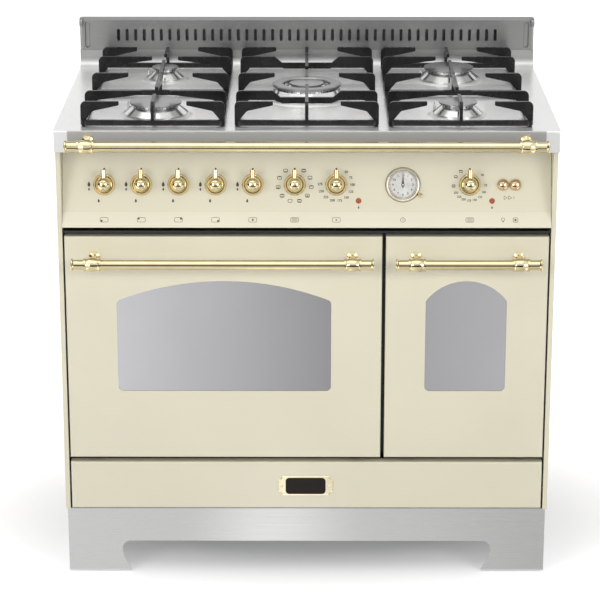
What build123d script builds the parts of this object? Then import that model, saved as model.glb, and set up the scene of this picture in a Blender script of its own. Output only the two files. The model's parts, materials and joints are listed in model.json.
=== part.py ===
from build123d import *
import os
from math import cos, radians, sin, tan

os.makedirs("parts", exist_ok=True)

# Overall sizes in millimetres: the front faces -Y, the floor is at z = 0
cooker_width = 900.0
cooker_depth = 600.0
hob_height = 850.0
sheet = 1.5
seat_gap = 0.3
running_gap = 0.05

# Hob sheet
lip_height = 39.0
hob_edge_radius = 3.0
splash_depth = 40.0
upstand_rise = 32.0
cove_radius = 20.0
boss_rise = 3.0
boss_slope = 5.0

# Splashback
splash_rise = 91.0
splash_inset = 1.0
splash_edge_radius = 4.0
vent_count = 45
vent_end_gap = 68.85
vent_width = 6.0
vent_height = 23.7
vent_rise = 61.5
groove_width = 10.0
groove_height = 52.0
groove_depth = 4.0
groove_inset = 15.0
end_cap_width = 6.0
end_cap_rise = 4.0
end_cap_depth = 14.0

# Body sheets
body_inset = 3.5
body_bottom = 127.0
stile_width = 8.5
stile_setback = 12.0
cheek_depth = 60.0
rear_return = 20.0
back_space = 40.0
base_setback = 14.0
rear_vent_count = 14
rear_vent_pitch = 44.0
rear_vent_size = 30.0
rear_vent_slot = 5.0

# Plinth and feet
plinth_inset = 6.5
plinth_setback = 15.0
plinth_rear_gap = 60.0
plinth_clearance = 3.0
arch_side = 100.5
arch_foot_inset = 18.0
arch_height = 62.0
arch_corner = 15.0
foot_inset = 60.0
foot_setback = 70.0
foot_rear_gap = 100.0
foot_pad_radius = 20.0
foot_pad_height = 8.0
foot_stem_radius = 5.0

# Control panel
panel_tilt = 15.0
panel_drop = 154.4
crease_setback = 24.0
strip_height = 24.6
strip_setback = 7.0
panel_end_gap = 0.5
panel_return = 8.0
frame_setback = 48.0

# Places along the control panel: shares of the width from the middle, and heights above its crease
gas_knob_first_share = -0.4028
gas_knob_pitch_share = 0.0739
gas_knob_count = 5
function_knob_share = -0.0238
thermostat_knob_share = 0.0589
small_oven_knob_share = 0.3244
clock_share = 0.1914
button_first_share = 0.3904
button_pitch = 22.3
lamp_offset = 40.0
lamp_row = 20.0
knob_row = 48.8

# Knobs and rosettes
rosette_radius = 19.8
rosette_height = 5.0
knob_collar_radius = 12.0
knob_collar_height = 2.5
knob_neck_radius = 6.5
knob_ball_radius = 12.5
knob_neck_height = 2.0
lever_root_radius = 4.0
lever_tip_radius = 5.2
lever_length = 26.5
lever_tip_edge = 1.2
spindle_radius = 3.0
spindle_engagement = 14.0
spindle_passage = 1.0

# Gas taps, oven switches and manifold
tap_radius = 12.0
tap_length = 33.0
switch_size = 40.0
switch_depth = 30.0
manifold_radius = 7.5
manifold_bend = 40.0
manifold_overrun = 20.0
manifold_side_gap = 35.0
inlet_radius = 10.48
inlet_length = 16.0
inlet_setback = 2.0
inlet_nut_radius = 14.0
inlet_nut_length = 10.0

# Clock
bezel_radius = 30.5
bezel_height = 6.0
bezel_rim = 4.0
clock_cup_radius = 28.0
clock_cup_depth = 24.0
dial_height = 0.8
clock_glass_thickness = 1.4
hand_thickness = 0.6
hand_post_radius = 1.2
hand_hub_radius = 2.8
hour_hand_length = 11.0
minute_hand_length = 16.0
hand_width = 3.2
hand_spacing = 0.4
stud_radius = 3.6
stud_height = 9.0
stud_offset_x = 30.4
stud_drop = 18.8
stud_stem_radius = 2.0
stud_stem_length = 14.0

# Buttons and pilot lamps
button_radius = 9.3
button_height = 10.0
button_dome = 4.5
button_travel = 3.5
button_ring_wall = 1.3
button_ring_height = 4.5
button_stem_radius = 4.0
button_stem_length = 16.0
lamp_radius = 5.0
lamp_height = 3.0
lamp_stem_radius = 4.0
lamp_stem_length = 15.0

# Doors
door_setback = 8.0
door_head_gap = 6.0
door_sill_gap = 9.0
door_side_gap = 3.3
door_depth = 26.0
door_edge_radius = 3.5
main_door_share = 0.6612
door_gap = 6.3
hinge_setback = 24.0
hinge_rise = 20.0
hinge_inset = 45.0
hinge_pin_radius = 4.0
hinge_knuckle_radius = 8.0
hinge_width = 14.0
hinge_ear = 3.0
hinge_side_gap = 0.5
liner_rise = 31.0
liner_inset = 0.5
liner_corner = 6.0
liner_edge = 3.0
glass_thickness = 4.0
glass_lap = 15.0
window_sill = 130.0
window_head = 83.0
window_arch = 38.0
window_corner = 9.0
main_window_side = 91.35
small_window_side = 72.7

# Seals and ovens
seal_width = 10.0
seal_thickness = 5.0
seal_lap = 6.0
oven_sill = 51.0
oven_head = 42.0
oven_rear_space = 100.5
main_oven_wall = 65.35
small_oven_wall = 38.2
oven_flange = 12.0

# Shelves and guides
guide_thickness = 4.0
guide_end_gap = 55.0
guide_bar = 10.0
guide_ledge = 8.0
guide_ledge_height = 3.0
guide_levels = 4
guide_front_gap = 20.0
guide_back_gap = 50.0
shelf_level = 2
shelf_bar = 6.0
shelf_wire = 5.0
shelf_side_gap = 1.0
main_shelf_wires = 11
small_shelf_wires = 5

# Fan, cover, motor and heating elements
fan_drop = 10.0
fan_radius = 62.0
fan_ring_gap = 18.0
fan_blades = 8
fan_blade_depth = 18.0
fan_blade_thickness = 1.6
fan_plate = 2.0
fan_hub_radius = 8.0
fan_wall_gap = 8.0
fan_shaft_radius = 4.0
fan_shaft_length = 40.0
fan_cover_side_gap = 70.0
fan_cover_depth = 40.0
fan_cover_corner = 14.0
fan_cover_hole_radius = 6.0
fan_cover_ring_shares = (0.35, 0.63)
fan_cover_ring_holes = (6, 11)
motor_radius = 38.0
motor_length = 50.0
element_radius = 3.5
ring_cover_gap = 27.0
ring_element_leg = 20.0
ring_element_leg_radius = 3.0
ring_element_leg_out = 0.6
grill_drop = 20.0
grill_side_gap = 45.0
grill_front_gap = 110.0
grill_bend = 30.0

# Drawer and runners
drawer_sill = 3.5
drawer_height = 91.5
drawer_front_depth = 20.0
drawer_side_space = 33.0
drawer_rear_space = 30.5
drawer_box_rise = 7.5
drawer_box_height = 66.0
drawer_flange = 8.0
drawer_flange_rise = 30.0
drawer_flange_thickness = 2.0
runner_height = 16.0
runner_back_gap = 10.0

# Brass bars and posts
bar_radius = 9.0
bar_slip = 0.1
collar_radius = 12.5
collar_waist_radius = 10.6
collar_length = 30.0
collar_rim = 3.0
post_base_radius = 10.0
post_base_height = 5.0
post_neck_radius = 6.5
finial_flange_radius = 11.3
finial_flange = 3.2
finial_edge = 0.8
finial_neck = 1.6
rail_standoff = 45.0
rail_drop = 18.0
rail_end_gap = 26.0
rail_post_inset = 37.0
handle_standoff = 50.0
handle_drop = 38.0
handle_end_gap = 16.5
handle_post_inset = 37.5

# Burners: each size is its cap, crown base and boss diameters
front_burner_inset = 100.0
rear_burner_inset = 102.0
wok_advance = 3.0
rapid_burner = (95.0, 116.0, 134.0)
medium_burner = (70.0, 90.0, 110.0)
small_burner = (50.0, 71.0, 92.0)
crown_spigot = 20.0
crown_seat = 6.0
crown_foot = 3.0
crown_height = 19.0
crown_cap_lap = 5.0
crown_slope_top = 15.0
port_pitch = 9.5
port_width = 2.6
port_depth = 3.5
cap_thickness = 5.0
cap_crown = 2.0
cap_edge = 1.5
wok_boss_dia = 181.0
wok_base_dia = 134.0
wok_ring_dia = 129.0
wok_ring_bore = 88.0
wok_ring_wall = 12.0
wok_inner_dia = 72.0
wok_inner_cap = 63.0
wok_inner_rise = 2.0

# Cast iron pan supports
support_side_gap = 48.5
support_gap = 17.5
support_front = 26.0
support_rear_gap = 28.0
support_height = 45.0
support_foot = 3.0
support_foot_radius = 4.0
support_bar = 9.0
support_corner = 12.0
fin_thickness = 6.0
fin_leg = 13.0
fin_root = 17.0
fin_tip = 7.0
fin_corner = 9.0
short_fin_length = 68.0
long_fin_gap = 25.0
wok_front_gap = 92.0
wok_rear_gap = 66.0
crank_flat = 66.0
crank_run = 14.0
crank_drop = 12.0
crank_depth = 11.0

# Rear cable gland
gland_side_gap = 145.0
gland_height = 260.0
gland_bore_radius = 5.0
gland_radius = 11.0
gland_flange_radius = 16.0
gland_flange = 5.0
gland_inner = 12.0

# Vent trim above the doors
trim_gap = 9.0
trim_thickness = 2.0
trim_lip = 4.0

# Stations worked out from the sizes above
rail_reach = rail_standoff + collar_radius
lip_y = (rail_reach - cooker_depth) / 2
back_y = lip_y + cooker_depth
body_half = cooker_width / 2 - body_inset
inner_half = body_half - sheet
stile_half = body_half - stile_width
stile_y = lip_y + stile_setback
door_y = lip_y + door_setback
frame_y = lip_y + frame_setback
back_panel_y = back_y - back_space
hob_underside = hob_height - sheet
upstand_y = back_y - splash_depth
splash_y = upstand_y + sheet
base_top = body_bottom + sheet
crease_height = hob_height - panel_drop
strip_bottom = crease_height - strip_height
trim_z = strip_bottom - trim_gap
door_top = trim_z - trim_lip / 2 - door_head_gap
drawer_bottom = body_bottom + drawer_sill
drawer_top = drawer_bottom + drawer_height
door_bottom = drawer_top + door_sill_gap
oven_bottom = door_bottom + oven_sill
oven_top = door_top - oven_head
oven_middle = (oven_bottom + oven_top) / 2
handle_z = door_top - handle_drop
burner_seat = hob_height + boss_rise
panel_normal = Vector(0, -cos(radians(panel_tilt)), sin(radians(panel_tilt)))
panel_up = Vector(0, sin(radians(panel_tilt)), cos(radians(panel_tilt)))
panel_plane = Plane((0, lip_y + crease_setback, crease_height), x_dir=(1, 0, 0), z_dir=panel_normal)
gas_knob_shares = [gas_knob_first_share + i * gas_knob_pitch_share for i in range(gas_knob_count)]
gas_knob_xs = [cooker_width * share for share in gas_knob_shares]
oven_knob_shares = (function_knob_share, thermostat_knob_share, small_oven_knob_share)
oven_knob_xs = [cooker_width * share for share in oven_knob_shares]
clock_x = cooker_width * clock_share
button_xs = [cooker_width * button_first_share, cooker_width * button_first_share + button_pitch]
lamp_xs = [x + lamp_offset for x in oven_knob_xs[1:]]
stud_x = clock_x + stud_offset_x
stud_row = knob_row - stud_drop
tap_end = sheet + tap_length
manifold_point = panel_plane.from_local_coords((0, knob_row, -tap_end - manifold_radius))
manifold_left_x = -inner_half + manifold_side_gap
door_half = stile_half - door_side_gap
main_door_width = (2 * door_half - door_gap) * main_door_share
small_door_width = 2 * door_half - door_gap - main_door_width
main_door_span = (-door_half, main_door_width - door_half)
small_door_span = (main_door_span[1] + door_gap, door_half)
main_door_x = sum(main_door_span) / 2
small_door_x = sum(small_door_span) / 2
main_oven_width = main_door_width - 2 * main_oven_wall
small_oven_width = small_door_width - 2 * small_oven_wall
main_window_width = main_door_width - 2 * main_window_side
small_window_width = small_door_width - 2 * small_window_side
window_bottom = door_bottom + window_sill
window_top = door_top - window_head
window_shoulder = window_top - window_arch
hinge_y = lip_y + hinge_setback
hinge_z = door_bottom + hinge_rise
liner_y = door_y + door_depth
liner_back_y = frame_y - seal_thickness - seat_gap
cavity_y = frame_y + sheet
oven_back_y = back_panel_y - oven_rear_space
fan_y = oven_back_y - fan_wall_gap
fan_z = oven_middle - fan_drop
fan_cover_width = main_oven_width - 2 * fan_cover_side_gap
ring_element_radius = fan_radius + fan_ring_gap
fan_cover_height = 2 * (ring_element_radius + ring_cover_gap)
handle_y = door_y - handle_standoff
rail_z = hob_height - rail_drop
support_width = (cooker_width - 2 * support_side_gap - 2 * support_gap) / 3
support_pitch = support_width + support_gap
support_seat = hob_height + seat_gap
support_bottom = support_seat + support_foot
support_bar_top = support_bottom + support_bar
support_top = hob_height + support_height
support_front_y = lip_y + support_front
support_rear_y = upstand_y - support_rear_gap
support_depth = support_rear_y - support_front_y
support_middle_y = (support_front_y + support_rear_y) / 2
front_row_y = support_front_y + front_burner_inset
rear_row_y = support_rear_y - rear_burner_inset
wok_y = support_middle_y - wok_advance
burners = (
    (-support_pitch, front_row_y, *rapid_burner),
    (-support_pitch, rear_row_y, *small_burner),
    (support_pitch, rear_row_y, *rapid_burner),
    (support_pitch, front_row_y, *medium_burner),
)


def save(piece, node):
    """Label a finished piece and write it under its node's name."""
    piece.label = node
    export_step(piece, f"parts/{node}.step")


def block(low, high, mode=Mode.ADD):
    """A box between two corners."""
    size = [b - a for a, b in zip(low, high)]
    with Locations(tuple((a + b) / 2 for a, b in zip(low, high))):
        Box(*size, mode=mode)


def on_panel(x, row):
    """A point on the control panel's outer face."""
    return panel_plane.from_local_coords((x, row, 0))


def lathe_plane(spot, axis):
    """A plane through the turning axis: local x is the radius, local y runs along the axis."""
    along = Vector(axis)
    across = Vector(1, 0, 0)
    if abs(along.X) > abs(along.Z) + abs(along.Y):
        across = Vector(0, 1, 0)
    return Plane(spot, x_dir=across, z_dir=across.cross(along))


def turn(spot, axis, *points, mode=Mode.ADD):
    """A turned solid: points are (radius, distance along the axis)."""
    with BuildSketch(lathe_plane(spot, axis)) as section:
        with BuildLine():
            Polyline(*points, close=True)
        make_face()
    revolve(section.sketch, axis=Axis(spot, axis), mode=mode)


def dome(radius, rim, rise):
    """The arc of a domed top in a turned section, from its rim to the axis."""
    ball = (radius**2 + rise**2) / (2 * rise)
    halfway = rim + rise - ball + (ball**2 - radius**2 / 4) ** 0.5
    ThreePointArc((radius, rim), (radius / 2, halfway), (0, rim + rise))


# Side panels: outer wall, rear return, front stile and the cheek behind it
for node, way, inner_side in (("left_side_panel", -1, Side.LEFT), ("right_side_panel", 1, Side.RIGHT)):
    with BuildPart() as side_panel:
        with BuildSketch(Plane.XY.offset(body_bottom)):
            with BuildLine():
                Polyline(
                    (way * (body_half - rear_return), back_y),
                    (way * body_half, back_y),
                    (way * body_half, stile_y),
                    (way * stile_half, stile_y),
                    (way * stile_half, stile_y + cheek_depth),
                )
                offset(amount=sheet, side=inner_side, kind=Kind.INTERSECTION)
            make_face()
        extrude(amount=hob_underside - body_bottom)
    save(side_panel.part, node)

# Base pan, stepped in at the front to fit between the cheeks
with BuildPart() as base_pan:
    block((-stile_half, lip_y + base_setback, body_bottom), (stile_half, back_panel_y, base_top))
    block((-inner_half, stile_y + cheek_depth, body_bottom), (inner_half, back_panel_y, base_top))
save(base_pan.part, "base_pan")

# Back panel with rows of vent slots and the holes for the gas pipe and the cable
with BuildPart() as back_panel:
    block((-inner_half, back_panel_y, base_top), (inner_half, back_panel_y + sheet, hob_underside))
    with BuildSketch(Plane.XZ.offset(-back_panel_y - sheet)):
        for row_height in (oven_top, oven_top + 2 * rear_vent_size):
            with Locations((0, row_height)):
                with GridLocations(rear_vent_pitch, 0, rear_vent_count, 1):
                    Rectangle(rear_vent_slot, rear_vent_size)
        with Locations((manifold_left_x, manifold_point.Z)):
            Circle(manifold_radius + seat_gap)
        with Locations((inner_half - gland_side_gap, gland_height)):
            Circle(gland_radius + seat_gap)
    extrude(amount=sheet, mode=Mode.SUBTRACT)
save(back_panel.part, "back_panel")

# Plinth: a front and two sides, with a shaped arch in the front
plinth_y = lip_y + plinth_setback
plinth_back_y = back_y - plinth_rear_gap
plinth_half = cooker_width / 2 - plinth_inset
arch_half_width = plinth_half - arch_side
with BuildPart() as plinth:
    with BuildSketch(Plane.XY.offset(plinth_clearance)):
        with BuildLine():
            Polyline(
                (-plinth_half, plinth_back_y),
                (-plinth_half, plinth_y),
                (plinth_half, plinth_y),
                (plinth_half, plinth_back_y),
            )
            offset(amount=sheet, side=Side.LEFT, kind=Kind.INTERSECTION)
        make_face()
    extrude(amount=body_bottom - plinth_clearance)
    with BuildSketch(Plane.XZ.offset(-plinth_y)):
        with BuildLine():
            foot_half = arch_half_width - arch_foot_inset
            shoulder = arch_height - arch_corner
            right_edge = Spline(
                (foot_half, 0),
                (arch_half_width, shoulder),
                tangents=((0.35, 1), (0, 1)),
            )
            top_half = arch_half_width - arch_corner
            right_round = RadiusArc(right_edge @ 1, (top_half, arch_height), -arch_corner)
            arch_top = Line(right_round @ 1, (-top_half, arch_height))
            RadiusArc(arch_top @ 1, (-arch_half_width, shoulder), -arch_corner)
            left_edge = Spline(
                (-arch_half_width, shoulder),
                (-foot_half, 0),
                tangents=((0, -1), (0.35, -1)),
            )
            Line(left_edge @ 1, right_edge @ 0)
        make_face()
    extrude(amount=-sheet, mode=Mode.SUBTRACT)
save(plinth.part, "plinth")

# Levelling feet
with BuildPart() as levelling_feet:
    for x in (foot_inset - cooker_width / 2, cooker_width / 2 - foot_inset):
        for y in (lip_y + foot_setback, back_y - foot_rear_gap):
            turn(
                Vector(x, y, 0), (0, 0, 1),
                (0, 0),
                (foot_pad_radius, 0),
                (foot_pad_radius, foot_pad_height / 2),
                (foot_pad_radius * 0.6, foot_pad_height),
                (foot_stem_radius, foot_pad_height),
                (foot_stem_radius, body_bottom),
                (0, body_bottom),
            )
save(levelling_feet.part, "levelling_feet")

# Face frame behind the doors, open at both ovens
with BuildPart() as face_frame:
    block((-stile_half, frame_y, drawer_top), (stile_half, frame_y + sheet, strip_bottom))
    for x, width in ((main_door_x, main_oven_width), (small_door_x, small_oven_width)):
        block(
            (x - width / 2, frame_y, oven_bottom),
            (x + width / 2, frame_y + sheet, oven_top),
            mode=Mode.SUBTRACT,
        )
save(face_frame.part, "face_frame")

# Vent trim: a blade with a front lip, in the gap above the doors
with BuildPart() as vent_trim:
    block((-door_half, stile_y, trim_z), (door_half, frame_y, trim_z + trim_thickness))
    block(
        (-door_half, stile_y, trim_z - trim_lip / 2),
        (door_half, stile_y + sheet, trim_z + trim_lip / 2),
    )
save(vent_trim.part, "vent_trim")

# Hob sheet: folded tray, rear upstand with a cove, pressed bosses and burner holes
with BuildPart() as hob_top:
    block((-cooker_width / 2, lip_y, hob_height - lip_height), (cooker_width / 2, back_y, hob_height))
    fillet(hob_top.edges().filter_by(Axis.Z).sort_by(Axis.Y)[:2], radius=hob_edge_radius)
    top_face = hob_top.faces().sort_by(Axis.Z)[-1]
    fillet(top_face.edges().sort_by(Axis.Y)[:-1], radius=hob_edge_radius)
    open_faces = [hob_top.faces().sort_by(Axis.Z)[0], hob_top.faces().sort_by(Axis.Y)[-1]]
    offset(amount=-sheet, openings=open_faces)
    with BuildSketch(Plane.YZ):
        with BuildLine():
            cove_end = hob_height + cove_radius
            cove = RadiusArc((upstand_y - cove_radius, hob_height), (upstand_y, cove_end), -cove_radius)
            Polyline(
                cove @ 1,
                (upstand_y, hob_height + upstand_rise),
                (splash_y, hob_height + upstand_rise),
                (splash_y, hob_height),
                cove @ 0,
            )
        make_face()
    extrude(amount=cooker_width / 2 - splash_inset, both=True)
    bosses = [(x, y, base, boss) for x, y, cap, base, boss in burners]
    bosses.append((0, wok_y, wok_base_dia, wok_boss_dia))
    for x, y, base, boss in bosses:
        with Locations((x, y, hob_height)):
            Cone(boss / 2, boss / 2 - boss_slope, boss_rise, align=(Align.CENTER, Align.CENTER, Align.MIN))
            Cylinder(base / 2 - crown_seat, 4 * boss_rise, mode=Mode.SUBTRACT)
save(hob_top.part, "hob_top")

# Splashback: a hollow box with a row of vent slots and a pressed groove at each end
splash_half = cooker_width / 2 - splash_inset
groove_x = splash_half - groove_inset
with BuildPart() as splashback:
    block((-splash_half, splash_y, hob_height), (splash_half, back_y, hob_height + splash_rise))
    fillet(splashback.edges().filter_by(Axis.Z).sort_by(Axis.Y)[:2], radius=splash_edge_radius)
    offset(amount=-sheet, openings=splashback.faces().sort_by(Axis.Z)[0])
    for x in (-splash_half, splash_half - end_cap_width):
        with BuildSketch(Plane.YZ.offset(x)):
            with Locations((splash_y + splash_edge_radius, hob_height + splash_rise - end_cap_rise)):
                SlotCenterToCenter(end_cap_depth, 4 * end_cap_rise, rotation=0)
        extrude(amount=end_cap_width)
    groove_z = hob_height + upstand_rise + (splash_rise - upstand_rise) / 2
    for x in (-groove_x, groove_x):
        pad_half = groove_width / 2 + sheet
        block(
            (x - pad_half, splash_y + sheet, groove_z - groove_height / 2 - sheet),
            (x + pad_half, splash_y + sheet + groove_depth, groove_z + groove_height / 2 + sheet),
        )
        with BuildSketch(Plane.XZ.offset(-splash_y)):
            with Locations((x, groove_z)):
                SlotOverall(groove_height, groove_width, rotation=90)
        extrude(amount=-groove_depth, taper=20, mode=Mode.SUBTRACT)
    with BuildSketch(Plane.XZ.offset(-splash_y)):
        with Locations((0, hob_height + vent_rise)):
            with GridLocations((cooker_width - 2 * vent_end_gap) / vent_count, 0, vent_count, 1):
                SlotOverall(vent_height, vent_width, rotation=90)
    extrude(amount=-sheet, mode=Mode.SUBTRACT)
save(splashback.part, "splashback")

# Burner crowns: turned bodies with a row of flame ports under the cap
with BuildPart() as burner_crowns:
    for x, y, cap, base, boss in burners:
        seat = Vector(x, y, burner_seat)
        top_radius = cap / 2 - crown_cap_lap
        spigot_radius = base / 2 - crown_seat - seat_gap
        turn(
            seat, (0, 0, 1),
            (0, -crown_spigot),
            (spigot_radius, -crown_spigot),
            (spigot_radius, 0),
            (base / 2, 0),
            (base / 2, crown_foot),
            (top_radius, crown_slope_top),
            (top_radius, crown_height),
            (0, crown_height),
        )
        port_count = round(cap * 3.14159 / port_pitch)
        with Locations(seat + Vector(0, 0, crown_height - port_depth / 2)):
            with PolarLocations(top_radius, port_count):
                Box(crown_cap_lap * 2, port_width, port_depth, mode=Mode.SUBTRACT)
    wok_seat = Vector(0, wok_y, burner_seat)
    ring_mid = (wok_ring_dia + wok_ring_bore) / 4
    turn(
        wok_seat, (0, 0, 1),
        (0, -crown_spigot),
        (wok_base_dia / 2 - crown_seat - seat_gap, -crown_spigot),
        (wok_base_dia / 2 - crown_seat - seat_gap, 0),
        (wok_base_dia / 2, 0),
        (wok_base_dia / 2, crown_foot),
        (ring_mid + wok_ring_wall / 2, crown_slope_top),
        (ring_mid + wok_ring_wall / 2, crown_height),
        (ring_mid - wok_ring_wall / 2, crown_height),
        (ring_mid - wok_ring_wall / 2, crown_foot),
        (wok_inner_dia / 2, crown_foot),
        (wok_inner_cap / 2 - crown_cap_lap, crown_slope_top),
        (wok_inner_cap / 2 - crown_cap_lap, crown_height + wok_inner_rise),
        (0, crown_height + wok_inner_rise),
    )
    wok_port_count = round(wok_ring_dia * 3.14159 / port_pitch)
    with Locations(wok_seat + Vector(0, 0, crown_height - port_depth / 2)):
        with PolarLocations(ring_mid + wok_ring_wall / 2, wok_port_count):
            Box(crown_cap_lap * 2, port_width, port_depth, mode=Mode.SUBTRACT)
save(burner_crowns.part, "burner_crowns")

# Burner caps: slightly domed discs, and a ring on the middle burner
with BuildPart() as burner_caps:
    cap_rim = cap_thickness - cap_edge
    discs = [(x, y, cap, 0) for x, y, cap, base, boss in burners]
    discs.append((0, wok_y, wok_inner_cap, wok_inner_rise))
    for x, y, cap, rise in discs:
        seat = Vector(x, y, burner_seat + crown_height + rise)
        with BuildSketch(lathe_plane(seat, (0, 0, 1))):
            with BuildLine():
                Polyline(
                    (0, cap_rim + cap_crown),
                    (0, 0),
                    (cap / 2 - cap_edge, 0),
                    (cap / 2, cap_edge),
                    (cap / 2, cap_rim),
                )
                dome(cap / 2, cap_rim, cap_crown)
            make_face()
        revolve(axis=Axis(seat, (0, 0, 1)))
    turn(
        Vector(0, wok_y, burner_seat + crown_height), (0, 0, 1),
        (wok_ring_bore / 2, 0),
        (wok_ring_dia / 2 - cap_edge, 0),
        (wok_ring_dia / 2, cap_edge),
        (wok_ring_dia / 2, cap_thickness - cap_edge),
        (wok_ring_dia / 2 - 2 * cap_edge, cap_thickness),
        (wok_ring_bore / 2 + cap_edge, cap_thickness),
        (wok_ring_bore / 2, cap_thickness - cap_edge),
    )
save(burner_caps.part, "burner_caps")


def fin_outline(start, way, length):
    """One cast finger from the side: a leg at start, reaching the given length along way."""
    with BuildLine() as outline:
        FilletPolyline(
            (start, support_bottom),
            (start, support_top),
            (start + way * length, support_top),
            (start + way * length, support_top - fin_tip),
            (start + way * (fin_leg + fin_corner), support_top - fin_root),
            (start + way * support_bar, support_bar_top),
            (start + way * support_bar, support_bottom),
            radius=(0, fin_corner, fin_tip / 4, fin_tip / 3, fin_corner, 0, 0),
            close=True,
        )
    make_face(outline.edges())


def crank_outline(left, right):
    """A cast bar from side to side that dips in the middle, on a leg at each end."""
    flat_top = support_top - fin_root
    dip_top = support_top - crank_drop
    rounds = (0, fin_corner, fin_tip / 2, fin_tip / 2, fin_tip / 2, fin_tip / 2, fin_corner, 0)
    with BuildLine() as outline:
        FilletPolyline(
            (left, support_bottom),
            (left, support_top),
            (left + crank_flat, support_top),
            (left + crank_flat + crank_run, dip_top),
            (right - crank_flat - crank_run, dip_top),
            (right - crank_flat, support_top),
            (right, support_top),
            (right, support_bottom),
            (right - support_bar, support_bottom),
            (right - support_bar, support_bar_top),
            (right - fin_leg - fin_corner, flat_top),
            (right - crank_flat - fin_tip / 2, flat_top),
            (right - crank_flat - crank_run - fin_tip / 2, dip_top - crank_depth),
            (left + crank_flat + crank_run + fin_tip / 2, dip_top - crank_depth),
            (left + crank_flat + fin_tip / 2, flat_top),
            (left + fin_leg + fin_corner, flat_top),
            (left + support_bar, support_bar_top),
            (left + support_bar, support_bottom),
            radius=(*rounds, 0, *rounds, 0),
            close=True,
        )
    make_face(outline.edges())


# Pan supports: a low bar frame on small feet, carrying cast fingers that point at the burners
for node, middle in (
    ("left_pan_support", -support_pitch),
    ("middle_pan_support", 0.0),
    ("right_pan_support", support_pitch),
):
    left = middle - support_width / 2
    right = middle + support_width / 2
    over_wok = middle == 0.0
    with BuildPart() as pan_support:
        with BuildSketch(Plane.XY.offset(support_bottom)):
            with Locations((middle, support_middle_y)):
                RectangleRounded(support_width, support_depth, support_corner)
                Rectangle(
                    support_width - 2 * support_bar,
                    support_depth - 2 * support_bar,
                    mode=Mode.SUBTRACT,
                )
                if not over_wok:
                    Rectangle(support_width - support_bar, support_bar)
        extrude(amount=support_bar)
        short_rows = (support_front_y + support_corner, support_middle_y, support_rear_y - support_corner)
        for y in short_rows:
            for start, way in ((left, 1), (right, -1)):
                with BuildSketch(Plane.XZ.offset(-y)):
                    fin_outline(start, way, short_fin_length)
                extrude(amount=fin_thickness / 2, both=True)
                with Locations((start + way * support_bar / 2, y, support_seat)):
                    Cone(
                        support_foot_radius * 0.7,
                        support_foot_radius,
                        support_foot,
                        align=(Align.CENTER, Align.CENTER, Align.MIN),
                    )
        for y in (front_row_y, rear_row_y):
            if over_wok:
                with BuildSketch(Plane.XZ.offset(-y)):
                    crank_outline(left, right)
                extrude(amount=fin_thickness / 2, both=True)
            else:
                for start, way in ((left, 1), (right, -1)):
                    with BuildSketch(Plane.XZ.offset(-y)):
                        fin_outline(start, way, support_width / 2 - long_fin_gap)
                    extrude(amount=fin_thickness / 2, both=True)
        if over_wok:
            front_reach = wok_y - wok_front_gap - support_front_y
            rear_reach = support_rear_y - wok_y - wok_rear_gap
            long_fins = ((support_front_y, 1, front_reach), (support_rear_y, -1, rear_reach))
        else:
            front_reach = front_row_y - long_fin_gap - support_front_y
            rear_reach = support_rear_y - rear_row_y - long_fin_gap
            mid_front_reach = support_middle_y - front_row_y - long_fin_gap
            mid_rear_reach = rear_row_y - long_fin_gap - support_middle_y
            long_fins = (
                (support_front_y, 1, front_reach),
                (support_rear_y, -1, rear_reach),
                (support_middle_y + support_bar / 2, -1, mid_front_reach),
                (support_middle_y - support_bar / 2, 1, mid_rear_reach),
            )
        for start, way, reach in long_fins:
            with BuildSketch(Plane.YZ.offset(middle)):
                fin_outline(start, way, reach)
            extrude(amount=fin_thickness / 2, both=True)
    save(pan_support.part, node)

# Control panel: one folded sheet with holes for spindles, clock, lamps, buttons and set stud
panel_half = stile_half - panel_end_gap
top_setback = crease_setback + (hob_underside - crease_height) * tan(radians(panel_tilt))
with BuildPart() as control_panel:
    with BuildSketch(Plane.YZ):
        with BuildLine():
            Polyline(
                (lip_y + top_setback + panel_return, hob_underside),
                (lip_y + top_setback, hob_underside),
                (lip_y + crease_setback, crease_height),
                (lip_y + strip_setback, strip_bottom),
                (frame_y + sheet, strip_bottom),
            )
            offset(amount=sheet, side=Side.LEFT, kind=Kind.INTERSECTION)
        make_face()
    extrude(amount=panel_half, both=True)
    with BuildSketch(panel_plane):
        with Locations([(x, knob_row) for x in gas_knob_xs + oven_knob_xs]):
            Circle(spindle_radius + spindle_passage)
        with Locations((clock_x, knob_row)):
            Circle(clock_cup_radius + seat_gap)
        with Locations([(x, lamp_row) for x in lamp_xs]):
            Circle(lamp_stem_radius + seat_gap)
        with Locations([(x, knob_row) for x in button_xs]):
            Circle(button_stem_radius + running_gap)
        with Locations((stud_x, stud_row)):
            Circle(stud_stem_radius + running_gap)
    extrude(amount=-2 * sheet, mode=Mode.SUBTRACT)
save(control_panel.part, "control_panel")

# Rosettes: a dished ring behind each knob and a plain ring round each button
with BuildPart() as control_rosettes:
    for x in gas_knob_xs + oven_knob_xs:
        turn(
            on_panel(x, knob_row), panel_normal,
            (spindle_radius + spindle_passage, 0),
            (rosette_radius, 0),
            (rosette_radius, rosette_height * 0.5),
            (rosette_radius * 0.92, rosette_height),
            (rosette_radius * 0.82, rosette_height),
            (rosette_radius * 0.7, rosette_height * 0.6),
            (spindle_radius + spindle_passage, rosette_height * 0.6),
        )
    ring_bore = button_radius + seat_gap
    for x in button_xs:
        turn(
            on_panel(x, knob_row), panel_normal,
            (ring_bore, 0),
            (ring_bore + button_ring_wall, 0),
            (ring_bore + button_ring_wall, button_ring_height * 0.7),
            (ring_bore + button_ring_wall / 2, button_ring_height),
            (ring_bore, button_ring_height),
        )
save(control_rosettes.part, "control_rosettes")

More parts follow.
